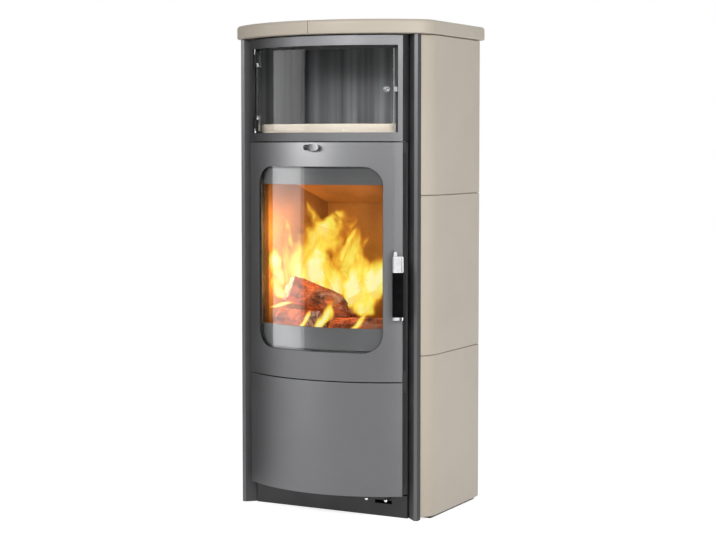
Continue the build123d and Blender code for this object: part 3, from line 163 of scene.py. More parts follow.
def make_clouds_group():
    """Two colours mixed in soft clouds, with fine grain on top."""
    group, given, result = new_group(
        "soft clouds",
        [("First Colour", "NodeSocketColor", (0.5, 0.5, 0.5, 1)),
         ("Second Colour", "NodeSocketColor", (0.4, 0.4, 0.4, 1)),
         ("Cloud Scale", "NodeSocketFloat", 8.0), ("Grain Scale", "NodeSocketFloat", 300.0),
         ("Grain Amount", "NodeSocketFloat", 0.15)],
        [("Colour", "NodeSocketColor"), ("Mask", "NodeSocketFloat"), ("Height", "NodeSocketFloat")])
    place = add_node(group, "TexCoord")
    clouds = add_node(group, "TexNoise", Detail=4.0, Roughness=0.55)
    grain = add_node(group, "TexNoise", Detail=2.0)
    spread = add_node(group, "MapRange", From_Min=0.35, From_Max=0.65)
    grain_share = add_node(group, "Math", operation="MULTIPLY")
    centred = add_node(group, "Math", operation="SUBTRACT")
    centred.inputs[1].default_value = 0.5
    total = add_node(group, "Math", operation="ADD", use_clamp=True)
    blend = add_node(group, "Mix", data_type="RGBA")
    for texture, scale in ((clouds, "Cloud Scale"), (grain, "Grain Scale")):
        join(group, place, "Object", texture, "Vector")
        join(group, given, scale, texture, "Scale")
    join(group, clouds, "Fac", spread, "Value")
    join(group, grain, "Fac", centred, 0)
    join(group, centred, 0, grain_share, 0)
    join(group, given, "Grain Amount", grain_share, 1)
    join(group, spread, "Result", total, 0)
    join(group, grain_share, 0, total, 1)
    join(group, total, 0, blend, "Factor")
    join(group, given, "First Colour", blend, "A")
    join(group, given, "Second Colour", blend, "B")
    join(group, blend, "Result", result, "Colour")
    join(group, total, 0, result, "Mask")
    join(group, grain, "Fac", result, "Height")


def make_streaks_group():
    """Noise drawn out along one axis, for brushed or rolled metal and wood fibre."""
    group, given, result = new_group(
        "long streaks",
        [("Stretch", "NodeSocketVector", (60.0, 60.0, 1.0)), ("Low", "NodeSocketFloat", 0.0),
         ("High", "NodeSocketFloat", 1.0)],
        [("Value", "NodeSocketFloat")])
    place = add_node(group, "TexCoord")
    stretched = add_node(group, "VectorMath", operation="MULTIPLY")
    streaks = add_node(group, "TexNoise", Scale=1.0, Detail=3.0, Roughness=0.6)
    spread = add_node(group, "MapRange", From_Min=0.3, From_Max=0.7)
    join(group, place, "Object", stretched, 0)
    join(group, given, "Stretch", stretched, 1)
    join(group, stretched, "Vector", streaks, "Vector")
    join(group, streaks, "Fac", spread, "Value")
    join(group, given, "Low", spread, "To Min")
    join(group, given, "High", spread, "To Max")
    join(group, spread, "Result", result, "Value")


def start_material(name, **values):
    """A material with its Principled BSDF's plain sockets set."""
    material = bpy.data.materials.new(name)
    material.use_nodes = True
    surface = material.node_tree.nodes["Principled BSDF"]
    for key, value in values.items():
        surface.inputs[key.replace("_", " ")].default_value = value
    return material, material.node_tree, surface


def roughen(tree, surface, mask, low, high):
    """Lets a mask vary the roughness between two values."""
    spread = add_node(tree, "MapRange", To_Min=low, To_Max=high)
    tree.links.new(mask, spread.inputs["Value"])
    join(tree, spread, "Result", surface, "Roughness")


def emboss(tree, surface, height, strength, distance):
    """Feeds a height through a Bump node into the normal."""
    bump = add_node(tree, "Bump", Strength=strength, Distance=distance)
    tree.links.new(height, bump.inputs["Height"])
    join(tree, bump, "Normal", surface, "Normal")
    return bump


def clad(tree, surface, clouds, roughness, bump):
    """Colour from the clouds, roughness between two values from their mask, and a bump from their grain."""
    join(tree, clouds, "Colour", surface, "Base Color")
    roughen(tree, surface, clouds.outputs["Mask"], *roughness)
    emboss(tree, surface, clouds.outputs["Height"], *bump)


# ---------------------------------------------------------------- finishes
def make_glaze():
    """Satin cream glaze with faint clouds and the slight waviness of fired ceramic."""
    material, tree, surface = start_material(
        "satin cream glaze", Roughness=0.42, Coat_Weight=0.08, Coat_Roughness=0.25, Specular_IOR_Level=0.35)
    clouds = in_clouds(tree, colours().glaze, shade(colours().glaze, 0.955),
                       clouds=5.0, grain=900.0, grain_share=0.5)
    waves = add_node(tree, "TexNoise", Scale=45.0, Detail=2.0)
    place = add_node(tree, "TexCoord")
    join(tree, place, "Object", waves, "Vector")
    join(tree, clouds, "Colour", surface, "Base Color")
    roughen(tree, surface, clouds.outputs["Mask"], 0.38, 0.46)
    emboss(tree, surface, waves.outputs["Fac"], 0.12, 0.0012)
    return material


def make_anthracite(name, factor):
    """Metallic stove paint: fine flakes and a faint orange peel. The factor scales its brightness; its darker
    and paler copies are painted shade and painted light.
    """
    material, tree, surface = start_material(name, Metallic=0.88, Roughness=0.4)
    clouds = in_clouds(tree, shade(colours().anthracite, factor), shade(colours().anthracite, factor * 0.9),
                       clouds=9.0, grain=1800.0, grain_share=1.3)
    clad(tree, surface, clouds, (0.37, 0.43), (0.05, 0.0003))
    return material


def make_black_steel():
    """Matt black stove paint on sheet steel; on the doors' edges and returns and on the profiles' inner faces
    it is painted shade.
    """
    material, tree, surface = start_material("matt black paint and painted shade", Metallic=0.0, Roughness=0.6)
    clouds = in_clouds(tree, (0.022, 0.022, 0.024), (0.034, 0.033, 0.033),
                       clouds=12.0, grain=1400.0, grain_share=1.0)
    clad(tree, surface, clouds, (0.55, 0.68), (0.15, 0.0003))
    return material


def make_zinc():
    """Zinc-plated steel with faint rolling streaks."""
    material, tree, surface = start_material("zinc-plated steel", Metallic=1.0, Roughness=0.36)
    clouds = in_clouds(tree, (0.52, 0.53, 0.54), (0.42, 0.43, 0.45),
                       clouds=22.0, grain=700.0, grain_share=0.6)
    streaks = use_group(tree, "long streaks", Stretch=(4.0, 4.0, 240.0), Low=0.3, High=0.44)
    join(tree, clouds, "Colour", surface, "Base Color")
    join(tree, streaks, "Value", surface, "Roughness")
    emboss(tree, surface, clouds.outputs["Height"], 0.06, 0.0003)
    return material


def make_liner_steel():
    """Dull stainless sheet of the warming compartment, brushed upright, with pale upright bands in its colour
    as painted sheen.
    """
    material, tree, surface = start_material("liner steel with painted sheen bands", Metallic=0.75, Roughness=0.4)
    clouds = in_clouds(tree, (0.095, 0.097, 0.10), (0.042, 0.042, 0.045),
                       clouds=4.0, grain=500.0, grain_share=0.3)
    streaks = use_group(tree, "long streaks", Stretch=(26.0, 26.0, 0.35), Low=0.0, High=1.0)
    # Pale upright bands mixed into the colour: painted sheen on the sheet.
    blend = add_node(tree, "Mix", data_type="RGBA")
    blend.inputs["B"].default_value = (0.27, 0.275, 0.285, 1)
    join(tree, streaks, "Value", blend, "Factor")
    join(tree, clouds, "Colour", blend, "A")
    join(tree, blend, "Result", surface, "Base Color")
    roughen(tree, surface, streaks.outputs["Value"], 0.34, 0.5)
    emboss(tree, surface, streaks.outputs["Value"], 0.12, 0.0006)
    return material


def make_chrome():
    """Polished chrome with very faint wiping marks."""
    material, tree, surface = start_material("polished chrome", Metallic=1.0, Roughness=0.06)
    clouds = in_clouds(tree, (0.80, 0.80, 0.81), (0.72, 0.72, 0.74),
                       clouds=90.0, grain=1500.0, grain_share=0.3)
    clad(tree, surface, clouds, (0.04, 0.09), (0.02, 0.0002))
    return material


def make_grip_black():
    """Black heat-proof plastic of the grip."""
    material, tree, surface = start_material("black grip plastic", Roughness=0.42, Specular_IOR_Level=0.02)
    clouds = in_clouds(tree, (0.003, 0.003, 0.0035), (0.006, 0.006, 0.0065),
                       clouds=60.0, grain=2400.0, grain_share=0.8)
    clad(tree, surface, clouds, (0.36, 0.48), (0.12, 0.0002))
    return material


def make_clear_glass(name):
    """Clear ceramic glass with a trace of film on its face."""
    material, tree, surface = start_material(
        name, Transmission_Weight=1.0, IOR=1.46, Base_Color=(0.985, 0.99, 0.985, 1), Roughness=0.0)
    film = add_node(tree, "TexNoise", Scale=14.0, Detail=3.0)
    place = add_node(tree, "TexCoord")
    join(tree, place, "Object", film, "Vector")
    roughen(tree, surface, film.outputs["Fac"], 0.0, 0.02)
    return material


def make_glass_edge():
    """Ground edge of a glass pane: pale, faintly green and dull."""
    material, tree, surface = start_material("ground glass edge", Roughness=0.35)
    clouds = in_clouds(tree, (0.60, 0.64, 0.62), (0.48, 0.52, 0.50),
                       clouds=40.0, grain=900.0, grain_share=0.8)
    join(tree, clouds, "Colour", surface, "Base Color")
    emboss(tree, surface, clouds.outputs["Height"], 0.1, 0.0002)
    return material


def make_rope():
    """Braided heat-proof rope of the door seals."""
    material, tree, surface = start_material("braided seal rope", Roughness=0.95)
    place = add_node(tree, "TexCoord")
    one_way, other_way = [add_node(tree, "TexWave", wave_type="BANDS", bands_direction="DIAGONAL",
                                   Scale=180.0, Distortion=0.6) for _ in range(2)]
    turned = add_node(tree, "Mapping")
    turned.inputs["Rotation"].default_value = (0, math.radians(90), math.radians(35))
    weave = add_node(tree, "Math", operation="MAXIMUM")
    tint = add_node(tree, "Mix", data_type="RGBA")
    tint.inputs["A"].default_value = (0.045, 0.045, 0.046, 1)
    tint.inputs["B"].default_value = (0.15, 0.15, 0.15, 1)
    join(tree, place, "Object", one_way, "Vector")
    join(tree, place, "Object", turned, "Vector")
    join(tree, turned, "Vector", other_way, "Vector")
    join(tree, one_way, "Fac", weave, 0)
    join(tree, other_way, "Fac", weave, 1)
    join(tree, weave, 0, tint, "Factor")
    join(tree, tint, "Result", surface, "Base Color")
    emboss(tree, surface, weave.outputs[0], 0.6, 0.0008)
    return material


def make_brick():
    """Vermiculite firebrick: coarse warm grain with patches of soot."""
    material, tree, surface = start_material("vermiculite firebrick", Roughness=0.9)
    clouds = in_clouds(tree, colours().brick, shade(colours().brick, 0.72),
                       clouds=9.0, grain=260.0, grain_share=1.4)
    place = add_node(tree, "TexCoord")
    soot = add_node(tree, "TexNoise", Scale=7.0, Detail=4.0)
    stretch = add_node(tree, "MapRange", From_Min=0.45, From_Max=0.75, To_Max=0.65)
    darken = add_node(tree, "Mix", data_type="RGBA")
    darken.inputs["B"].default_value = (0.10, 0.055, 0.028, 1)
    join(tree, place, "Object", soot, "Vector")
    join(tree, soot, "Fac", stretch, "Value")
    join(tree, stretch, "Result", darken, "Factor")
    join(tree, clouds, "Colour", darken, "A")
    join(tree, darken, "Result", surface, "Base Color")
    emboss(tree, surface, clouds.outputs["Height"], 0.5, 0.0015)
    return material


def make_iron():
    """Rough grey cast iron of the grate."""
    material, tree, surface = start_material("cast iron", Metallic=0.6, Roughness=0.7)
    clouds = in_clouds(tree, (0.075, 0.07, 0.066), (0.12, 0.085, 0.06),
                       clouds=18.0, grain=500.0, grain_share=1.2)
    clad(tree, surface, clouds, (0.6, 0.85), (0.6, 0.0010))
    return material


def make_burning_bark():
    """Charred bark, red-brown where it burns, with glowing cracks along the grain and patches of pale ash."""
    material, tree, surface = start_material("burning bark", Roughness=0.85)
    place = add_node(tree, "TexCoord")
    char = in_clouds(tree, (0.56, 0.19, 0.095), (0.055, 0.024, 0.017),
                     clouds=24.0, grain=170.0, grain_share=1.5)
    along_grain = add_node(tree, "Mapping")
    along_grain.inputs["Rotation"].default_value = (0.0, math.radians(-28), math.radians(-40))
    along_grain.inputs["Scale"].default_value = (9.0, 34.0, 34.0)
    fibre = add_node(tree, "TexNoise", Scale=1.0, Detail=5.0, Roughness=0.62, Distortion=0.5)
    off_middle = add_node(tree, "Math", operation="SUBTRACT")
    off_middle.inputs[1].default_value = 0.5
    distance = add_node(tree, "Math", operation="ABSOLUTE")
    crack_mask = add_node(tree, "MapRange", From_Min=0.0, From_Max=0.028, To_Min=1.0, To_Max=0.0)
    patches = add_node(tree, "TexNoise", Scale=15.0, Detail=3.0)
    patch_mask = add_node(tree, "MapRange", From_Min=0.42, From_Max=0.62)
    glow = add_node(tree, "Math", operation="MULTIPLY", use_clamp=True)
    halo = add_node(tree, "Math", operation="MULTIPLY_ADD", use_clamp=True)
    halo.inputs[1].default_value = 0.24
    tint = add_node(tree, "Mix", data_type="RGBA")
    tint.inputs["A"].default_value = (0.0, 0.0, 0.0, 1)
    tint.inputs["B"].default_value = with_alpha(colours().ember_glow)
    ash_mask = add_node(tree, "MapRange", From_Min=0.56, From_Max=0.70, To_Max=0.75)
    ashen = add_node(tree, "Mix", data_type="RGBA")
    ashen.inputs["B"].default_value = (0.50, 0.36, 0.33, 1)
    for texture in (patches, along_grain):
        join(tree, place, "Object", texture, "Vector")
    join(tree, along_grain, "Vector", fibre, "Vector")
    join(tree, fibre, "Fac", off_middle, 0)
    join(tree, off_middle, 0, distance, 0)
    join(tree, distance, 0, crack_mask, "Value")
    join(tree, patches, "Fac", patch_mask, "Value")
    join(tree, crack_mask, "Result", glow, 0)
    join(tree, patch_mask, "Result", glow, 1)
    join(tree, patch_mask, "Result", halo, 0)
    join(tree, glow, 0, halo, 2)
    join(tree, halo, 0, tint, "Factor")
    join(tree, tint, "Result", surface, "Emission Color")
    join(tree, fibre, "Fac", ash_mask, "Value")
    join(tree, ash_mask, "Result", ashen, "Factor")
    join(tree, char, "Colour", ashen, "A")
    join(tree, ashen, "Result", surface, "Base Color")
    surface.inputs["Emission Strength"].default_value = 1.0
    emboss(tree, surface, distance.outputs[0], 0.9, 0.006)
    return material


def make_cut_wood():
    """Grey-violet ash over the sawn end of a log, with its rings."""
    material, tree, surface = start_material("ashen log end", Roughness=0.9)
    place = add_node(tree, "TexCoord")
    rings = add_node(tree, "TexNoise", Scale=60.0, Detail=5.0, Distortion=1.2)
    ramp = add_node(tree, "ValToRGB")
    ramp.color_ramp.elements[0].position = 0.30
    ramp.color_ramp.elements[0].color = (0.050, 0.035, 0.040, 1)
    ramp.color_ramp.elements[1].position = 0.62
    ramp.color_ramp.elements[1].color = (0.80, 0.60, 0.64, 1)
    join(tree, place, "Object", rings, "Vector")
    join(tree, rings, "Fac", ramp, "Fac")
    join(tree, ramp, "Color", surface, "Base Color")
    emboss(tree, surface, rings.outputs["Fac"], 0.4, 0.002)
    return material


def make_ember():
    """Embers: white ash over orange-red heat."""
    material, tree, surface = start_material("embers", Roughness=0.95)
    place = add_node(tree, "TexCoord")
    heat = add_node(tree, "TexNoise", Scale=46.0, Detail=4.0, Roughness=0.6)
    ramp = add_node(tree, "ValToRGB")
    stops = ramp.color_ramp.elements
    stops[0].position, stops[0].color = 0.38, (0.012, 0.004, 0.002, 1)
    stops[1].position, stops[1].color = 0.50, with_alpha(colours().ember_glow)
    hottest = stops.new(0.64)
    hottest.color = (1.0, 0.50, 0.10, 1)
    ash = in_clouds(tree, (0.16, 0.10, 0.085), (0.03, 0.02, 0.018), clouds=60.0, grain=420.0, grain_share=1.2)
    join(tree, place, "Object", heat, "Vector")
    join(tree, heat, "Fac", ramp, "Fac")
    join(tree, ramp, "Color", surface, "Emission Color")
    join(tree, ash, "Colour", surface, "Base Color")
    surface.inputs["Emission Strength"].default_value = 1.3
    emboss(tree, surface, ash.outputs["Height"], 0.6, 0.002)
    return material


def make_flame():
    """Flame: pale core to orange edges, with ragged sides. U runs across a tongue, V runs up it."""
    material, tree, surface = start_material(
        "flame", Base_Color=(0, 0, 0, 1), Roughness=1.0, Specular_IOR_Level=0.0)
    uv = add_node(tree, "UVMap", uv_map="along")
    vigour = add_node(tree, "Attribute", attribute_name="vigour")
    split = add_node(tree, "SeparateXYZ")
    place = add_node(tree, "TexCoord")
    rising = add_node(tree, "Mapping")
    rising.inputs["Scale"].default_value = (1.4, 1.4, 0.75)
    turbulence = add_node(tree, "TexNoise", Scale=12.0, Detail=2.0, Roughness=0.45, Distortion=0.4)
    strands = add_node(tree, "TexNoise", Scale=20.0, Detail=3.0, Roughness=0.5, Distortion=0.9)
    sway = add_node(tree, "Math", operation="MULTIPLY_ADD")
    sway.inputs[1].default_value = 0.6
    centred = add_node(tree, "Math", operation="SUBTRACT")
    centred.inputs[1].default_value = 0.8
    distance = add_node(tree, "Math", operation="ABSOLUTE")
    body = add_node(tree, "MapRange", interpolation_type="SMOOTHSTEP", From_Min=0.5, From_Max=0.0)
    tip = add_node(tree, "MapRange", interpolation_type="SMOOTHSTEP", From_Min=1.0, From_Max=0.5)
    foot = add_node(tree, "MapRange", interpolation_type="SMOOTHSTEP", From_Min=0.0, From_Max=0.16)
    ends = add_node(tree, "Math", operation="MULTIPLY")
    mask = add_node(tree, "Math", operation="MULTIPLY")
    lively = add_node(tree, "Math", operation="MULTIPLY")
    ragged = add_node(tree, "MapRange", From_Min=0.3, From_Max=0.7, To_Min=0.0, To_Max=0.5)
    heat = add_node(tree, "Math", operation="SUBTRACT", use_clamp=True)
    cover = add_node(tree, "MapRange", interpolation_type="SMOOTHSTEP", From_Max=0.75, To_Max=0.9)
    ramp = add_node(tree, "ValToRGB")
    stops = ramp.color_ramp.elements
    stops[0].position, stops[0].color = 0.0, with_alpha(colours().flame_edge)
    stops[1].position, stops[1].color = 1.0, with_alpha(colours().flame_core)
    between = ((0.25, (1.0, 0.40, 0.03, 1)), (0.50, (1.0, 0.66, 0.06, 1)), (0.75, (1.0, 0.85, 0.12, 1)))
    for position, colour in between:
        stop = stops.new(position)
        stop.color = colour
    join(tree, uv, "UV", split, "Vector")
    join(tree, place, "Object", rising, "Vector")
    for texture in (turbulence, strands):
        join(tree, rising, "Vector", texture, "Vector")
    join(tree, turbulence, "Fac", sway, 0)
    join(tree, split, "X", sway, 2)
    join(tree, sway, 0, centred, 0)
    join(tree, centred, 0, distance, 0)
    join(tree, distance, 0, body, "Value")
    join(tree, split, "Y", tip, "Value")
    join(tree, split, "Y", foot, "Value")
    join(tree, tip, "Result", ends, 0)
    join(tree, foot, "Result", ends, 1)
    join(tree, body, "Result", mask, 0)
    join(tree, ends, 0, mask, 1)
    join(tree, mask, 0, lively, 0)
    join(tree, vigour, "Fac", lively, 1)
    join(tree, strands, "Fac", ragged, "Value")
    join(tree, lively, 0, heat, 0)
    join(tree, ragged, "Result", heat, 1)
    join(tree, heat, 0, ramp, "Fac")
    join(tree, heat, 0, cover, "Value")
    join(tree, ramp, "Color", surface, "Emission Color")
    join(tree, cover, "Result", surface, "Alpha")
    surface.inputs["Emission Strength"].default_value = 1.1
    return material


def finish(name):
    return bpy.data.materials[name]


# ---------------------------------------------------------------- piece helpers
def new_piece(name, bm, body, *materials, smooth_angle=35):
    """Turns a bmesh into a finished piece that rides on a body."""
    mesh = bpy.data.meshes.new(name)
    bm.to_mesh(mesh)
    bm.free()
    if "custom_normal" in mesh.attributes:
        mesh.attributes.remove(mesh.attributes["custom_normal"])
    mesh.shade_smooth()
    mesh.set_sharp_from_angle(angle=math.radians(smooth_angle))
    for material in materials:
        mesh.materials.append(finish(material))
    piece = bpy.data.objects.new(name, mesh)
    bpy.context.scene.collection.objects.link(piece)
    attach(piece, body)
    return piece


def body_of_node(name):
    for body, members in frame["record"]["behaviour"]["bodies"].items():
        if name in members:
            return body
    raise ValueError(f"no body carries {name}")


def merged_copy(name):
    """A node's mesh with its loose triangles merged and its flat faces joined up."""
    bm = bmesh.new()
    bm.from_mesh(frame["nodes"][name].data)
    bmesh.ops.remove_doubles(bm, verts=bm.verts, dist=1e-6)
    bmesh.ops.dissolve_limit(bm, angle_limit=math.radians(0.4), verts=bm.verts, edges=bm.edges)
    return bm


def soften(name, material, width, segments=2, limit=40):
    """Stands a soft-edged copy in for a node, with rounded edges and smooth curved faces."""
    piece = new_piece(f"{name}_finished", merged_copy(name), body_of_node(name), material)
    if width > 0:
        edges = piece.modifiers.new("rounded edges", "BEVEL")
        edges.width = width
        edges.segments = segments
        edges.limit_method = "ANGLE"
        edges.angle_limit = math.radians(limit)
        edges.harden_normals = True
    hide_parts(name)
    return piece


def two_tone(piece, second, facing):
    """Gives the faces that don't pass a test of their centre and normal a second finish."""
    piece.data.materials.append(finish(second))
    for face in piece.data.polygons:
        if not facing(face.center, face.normal):
            face.material_index = 1


def faces_out_of_bow(centre, normal):
    """True on the bowed front face of a door or frame."""
    outwards = Vector((centre.x, centre.y - BOW_AXIS_Y, 0.0)).normalized()
    return normal.dot(outwards) > 0.6


def faces_along_bow(centre, normal):
    """True on either bowed face of a pane, false on its edges."""
    outwards = Vector((centre.x, centre.y - BOW_AXIS_Y, 0.0)).normalized()
    return abs(normal.dot(outwards)) > 0.6


def faces_forward(centre, normal):
    """True on a flat face that looks straight ahead."""
    return normal.y < -0.9


def repaint(names, material):
    """Gives CAD nodes that keep their own shape a better finish."""
    for name in names:
        slots = frame["nodes"][name].data.materials
        for place in range(len(slots)):
            slots[place] = finish(material)


# ---------------------------------------------------------------- pieces
class STOVE_OT_finishes(bpy.types.Operator):
    """Makes the shared node groups and every finish"""
    bl_idname = "stove.finishes"
    bl_label = "Finishes"

    def execute(self, context):
        make_clouds_group()
        make_streaks_group()
        for maker in (make_glaze, make_black_steel, make_zinc, make_liner_steel, make_chrome, make_grip_black,
                      make_glass_edge, make_rope, make_brick, make_iron, make_burning_bark, make_cut_wood,
                      make_ember, make_flame):
            maker()
        make_anthracite("anthracite metallic paint", 0.94)
        # A darker copy of the anthracite paint: painted shade on the plinth.
        make_anthracite("anthracite paint darkened as painted shade", 0.4)
        # A paler copy of the anthracite paint: painted light on the fire door's frame and its window lips.
        make_anthracite("anthracite paint lightened as painted light", 2.0)
        make_clear_glass("fire window glass")
        make_clear_glass("warming door glass")
        return {"FINISHED"}


class STOVE_OT_ceramics(bpy.types.Operator):
    """Glazes the side tiles, the two halves of the top plate and the slab in the warming compartment"""
    bl_idname = "stove.ceramics"
    bl_label = "Ceramics"

    def execute(self, context):
        for name in TILES:
            soften(name, "satin cream glaze", sizes().tile_edge, segments=3, limit=30)
        for name in ("top_plate_left", "top_plate_right", "warming_slab"):
            soften(name, "satin cream glaze", 0.0)
        return {"FINISHED"}


class STOVE_OT_steel_front(bpy.types.Operator):
    """Paints the doors, the warming frame, the side profiles and the plinth; the faces that don't face out
    get matt black as painted shade
    """
    bl_idname = "stove.steel_front"
    bl_label = "Steel front"

    def execute(self, context):
        for name in DOOR_NODES + ("warming_frame",):
            # The fire door's frame gets the paler copy as painted light.
            paint = "anthracite paint lightened as painted light" if name == "fire_door_frame" else "anthracite metallic paint"
            piece = soften(name, paint, sizes().edge_softness)
            # Faces off the bow, the edges and returns, get matt black as painted shade.
            two_tone(piece, "matt black paint and painted shade", faces_out_of_bow)
        for name in ("side_profile_left", "side_profile_right"):
            piece = soften(name, "anthracite metallic paint", sizes().edge_softness)
            # The profiles' faces that don't look straight ahead get matt black as painted shade.
            two_tone(piece, "matt black paint and painted shade", faces_forward)
        # The plinth's darker paint is painted shade.
        soften("plinth_plate", "anthracite paint darkened as painted shade", sizes().edge_softness)
        soften("lower_door_frame", "matt black paint and painted shade", sizes().edge_softness)
        return {"FINISHED"}


class STOVE_OT_glass_panes(bpy.types.Operator):
    """Smooths the fire window and the warming door's pane"""
    bl_idname = "stove.glass_panes"
    bl_label = "Glass panes"

    def execute(self, context):
        soften("fire_glass", "fire window glass", 0.0)
        pane = soften("warming_glass", "warming door glass", 0.0005)
        two_tone(pane, "ground glass edge", faces_along_bow)
        pane.visible_shadow = False
        return {"FINISHED"}


class STOVE_OT_fittings(bpy.types.Operator):
    """Finishes the handle, its grip, the air controls, and the glass door's hinges and knob"""
    bl_idname = "stove.fittings"
    bl_label = "Chrome fittings and grip"

    def execute(self, context):
        for name in CHROME_NODES:
            soften(name, "polished chrome", 0.0008, segments=3)
        soften("handle_grip", "black grip plastic", 0.002, segments=4)
        return {"FINISHED"}


class STOVE_OT_body_shell(bpy.types.Operator):
    """Paints the steel body, its ducts, shields and rear parts"""
    bl_idname = "stove.body_shell"
    bl_label = "Body shell"

    def execute(self, context):
        for name in ("base_plate", "front_flange", "back_panel", "flue_collar", "external_air_spigot",
                     "hinge_ears", "flue_deflector", "air_duct"):
            soften(name, "matt black paint and painted shade", 0.0004)
        repaint(("body_left_wall", "body_right_wall", "body_back_wall", "body_top_plate",
                 "lower_compartment_floor", "firebox_floor", "firebox_ceiling"), "matt black paint and painted shade")
        for name in ("levelling_screws", "back_panel_screws", "frame_screws", "ash_pan", "ash_pan_runners",
                     "door_catches", "heat_shield_left", "heat_shield_right"):
            soften(name, "zinc-plated steel", 0.0003)
        soften("warming_liner", "liner steel with painted sheen bands", 0.0004)
        return {"FINISHED"}


class STOVE_OT_fire_lining(bpy.types.Operator):
    """Finishes the firebricks, baffle, hearth, grate, log retainer and rope seals"""
    bl_idname = "stove.fire_lining"
    bl_label = "Firebox lining"

    def execute(self, context):
        for name in ("hearth_brick", "firebrick_left", "firebrick_right", "firebrick_back", "smoke_baffle"):
            soften(name, "vermiculite firebrick", 0.0012)
        for name in ("grate", "log_retainer"):
            soften(name, "cast iron", 0.0006)
        for name in ("glass_seal", "fire_door_seal"):
            soften(name, "braided seal rope", 0.0008)
        return {"FINISHED"}


class STOVE_OT_firewood(bpy.types.Operator):
    """Models the three burning logs with bark and sawn ends"""
    bl_idname = "stove.firewood"
    bl_label = "Firewood"

    def execute(self, context):
        bm = merged_copy("firewood")
        for face in bm.faces:
            face.material_index = int(self.is_end(face))
        bmesh.ops.triangulate(bm, faces=bm.faces)
        finest = 0.0065
        for _ in range(4):
            long_edges = [edge for edge in bm.edges if edge.calc_length() > finest]
            bmesh.ops.subdivide_edges(bm, edges=long_edges, cuts=1, use_grid_fill=True)
            bmesh.ops.triangulate(bm, faces=[face for face in bm.faces if len(face.verts) > 3])
        depth = sizes().bark_depth
        along_log, across_log = 28, 75
        bm.normal_update()
        moves = []
        for vert in bm.verts:
            place = Vector((vert.co.x * along_log, vert.co.y * across_log, vert.co.z * across_log))
            ridges = noise.fractal(place, 1.0, 2.0, 4)
            moves.append((vert, vert.normal * (ridges * 0.9 - 0.1) * depth))
        for vert, move in moves:
            vert.co += move
        bm.normal_update()
        piece = new_piece("burning_logs", bm, "stove_body", "burning bark", "ashen log end", smooth_angle=60)
        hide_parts("firewood")
        return {"FINISHED"}

    @staticmethod
    def is_end(face):
        """A log's flat end is one face with many corners, and its bark is made of narrow ones."""
        return len(face.verts) > 8


class STOVE_OT_embers(bpy.types.Operator):
    """Heaps glowing embers round the logs"""
    bl_idname = "stove.embers"
    bl_label = "Embers"

    def execute(self, context):
        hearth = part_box("hearth_brick")[1][2]
        size = sizes().ember_size
        noise.seed_set(EMBER_SEED)
        tries = 150
        half_width, front, middle, back = 0.165, -0.138, -0.105, 0.02
        bm = bmesh.new()
        for count in range(tries):
            pick = Vector((count * 0.731, count * 1.379, 3.1))
            spread = noise.noise_vector(pick) + noise.noise_vector(pick * 2.3)
            x = spread.x * 0.16
            y = middle + spread.y * 0.045
            if abs(x) > half_width or y < front + x * x * 1.3 or y > back:
                continue
            scale = size * (0.6 + 0.55 * abs(spread.z))
            made = bmesh.ops.create_icosphere(bm, subdivisions=2, radius=scale / 2)
            turn = Matrix.Rotation(count * 2.4, 4, "Z") @ Matrix.Rotation(count * 1.1, 4, "X")
            flat = Matrix.Diagonal((1.25, 0.95, 0.7, 1.0))
            place = Matrix.Translation((x, y, hearth + scale * 0.33))
            bmesh.ops.transform(bm, matrix=place @ turn @ flat, verts=made["verts"])
        for vert in bm.verts:
            vert.co += noise.noise_vector(vert.co * 110) * size * 0.16
            vert.co.z = max(vert.co.z, hearth + 0.0006)
        bmesh.ops.recalc_face_normals(bm, faces=bm.faces)
        piece = new_piece("ember_bed", bm, "stove_body", "embers", smooth_angle=50)
        return {"FINISHED"}


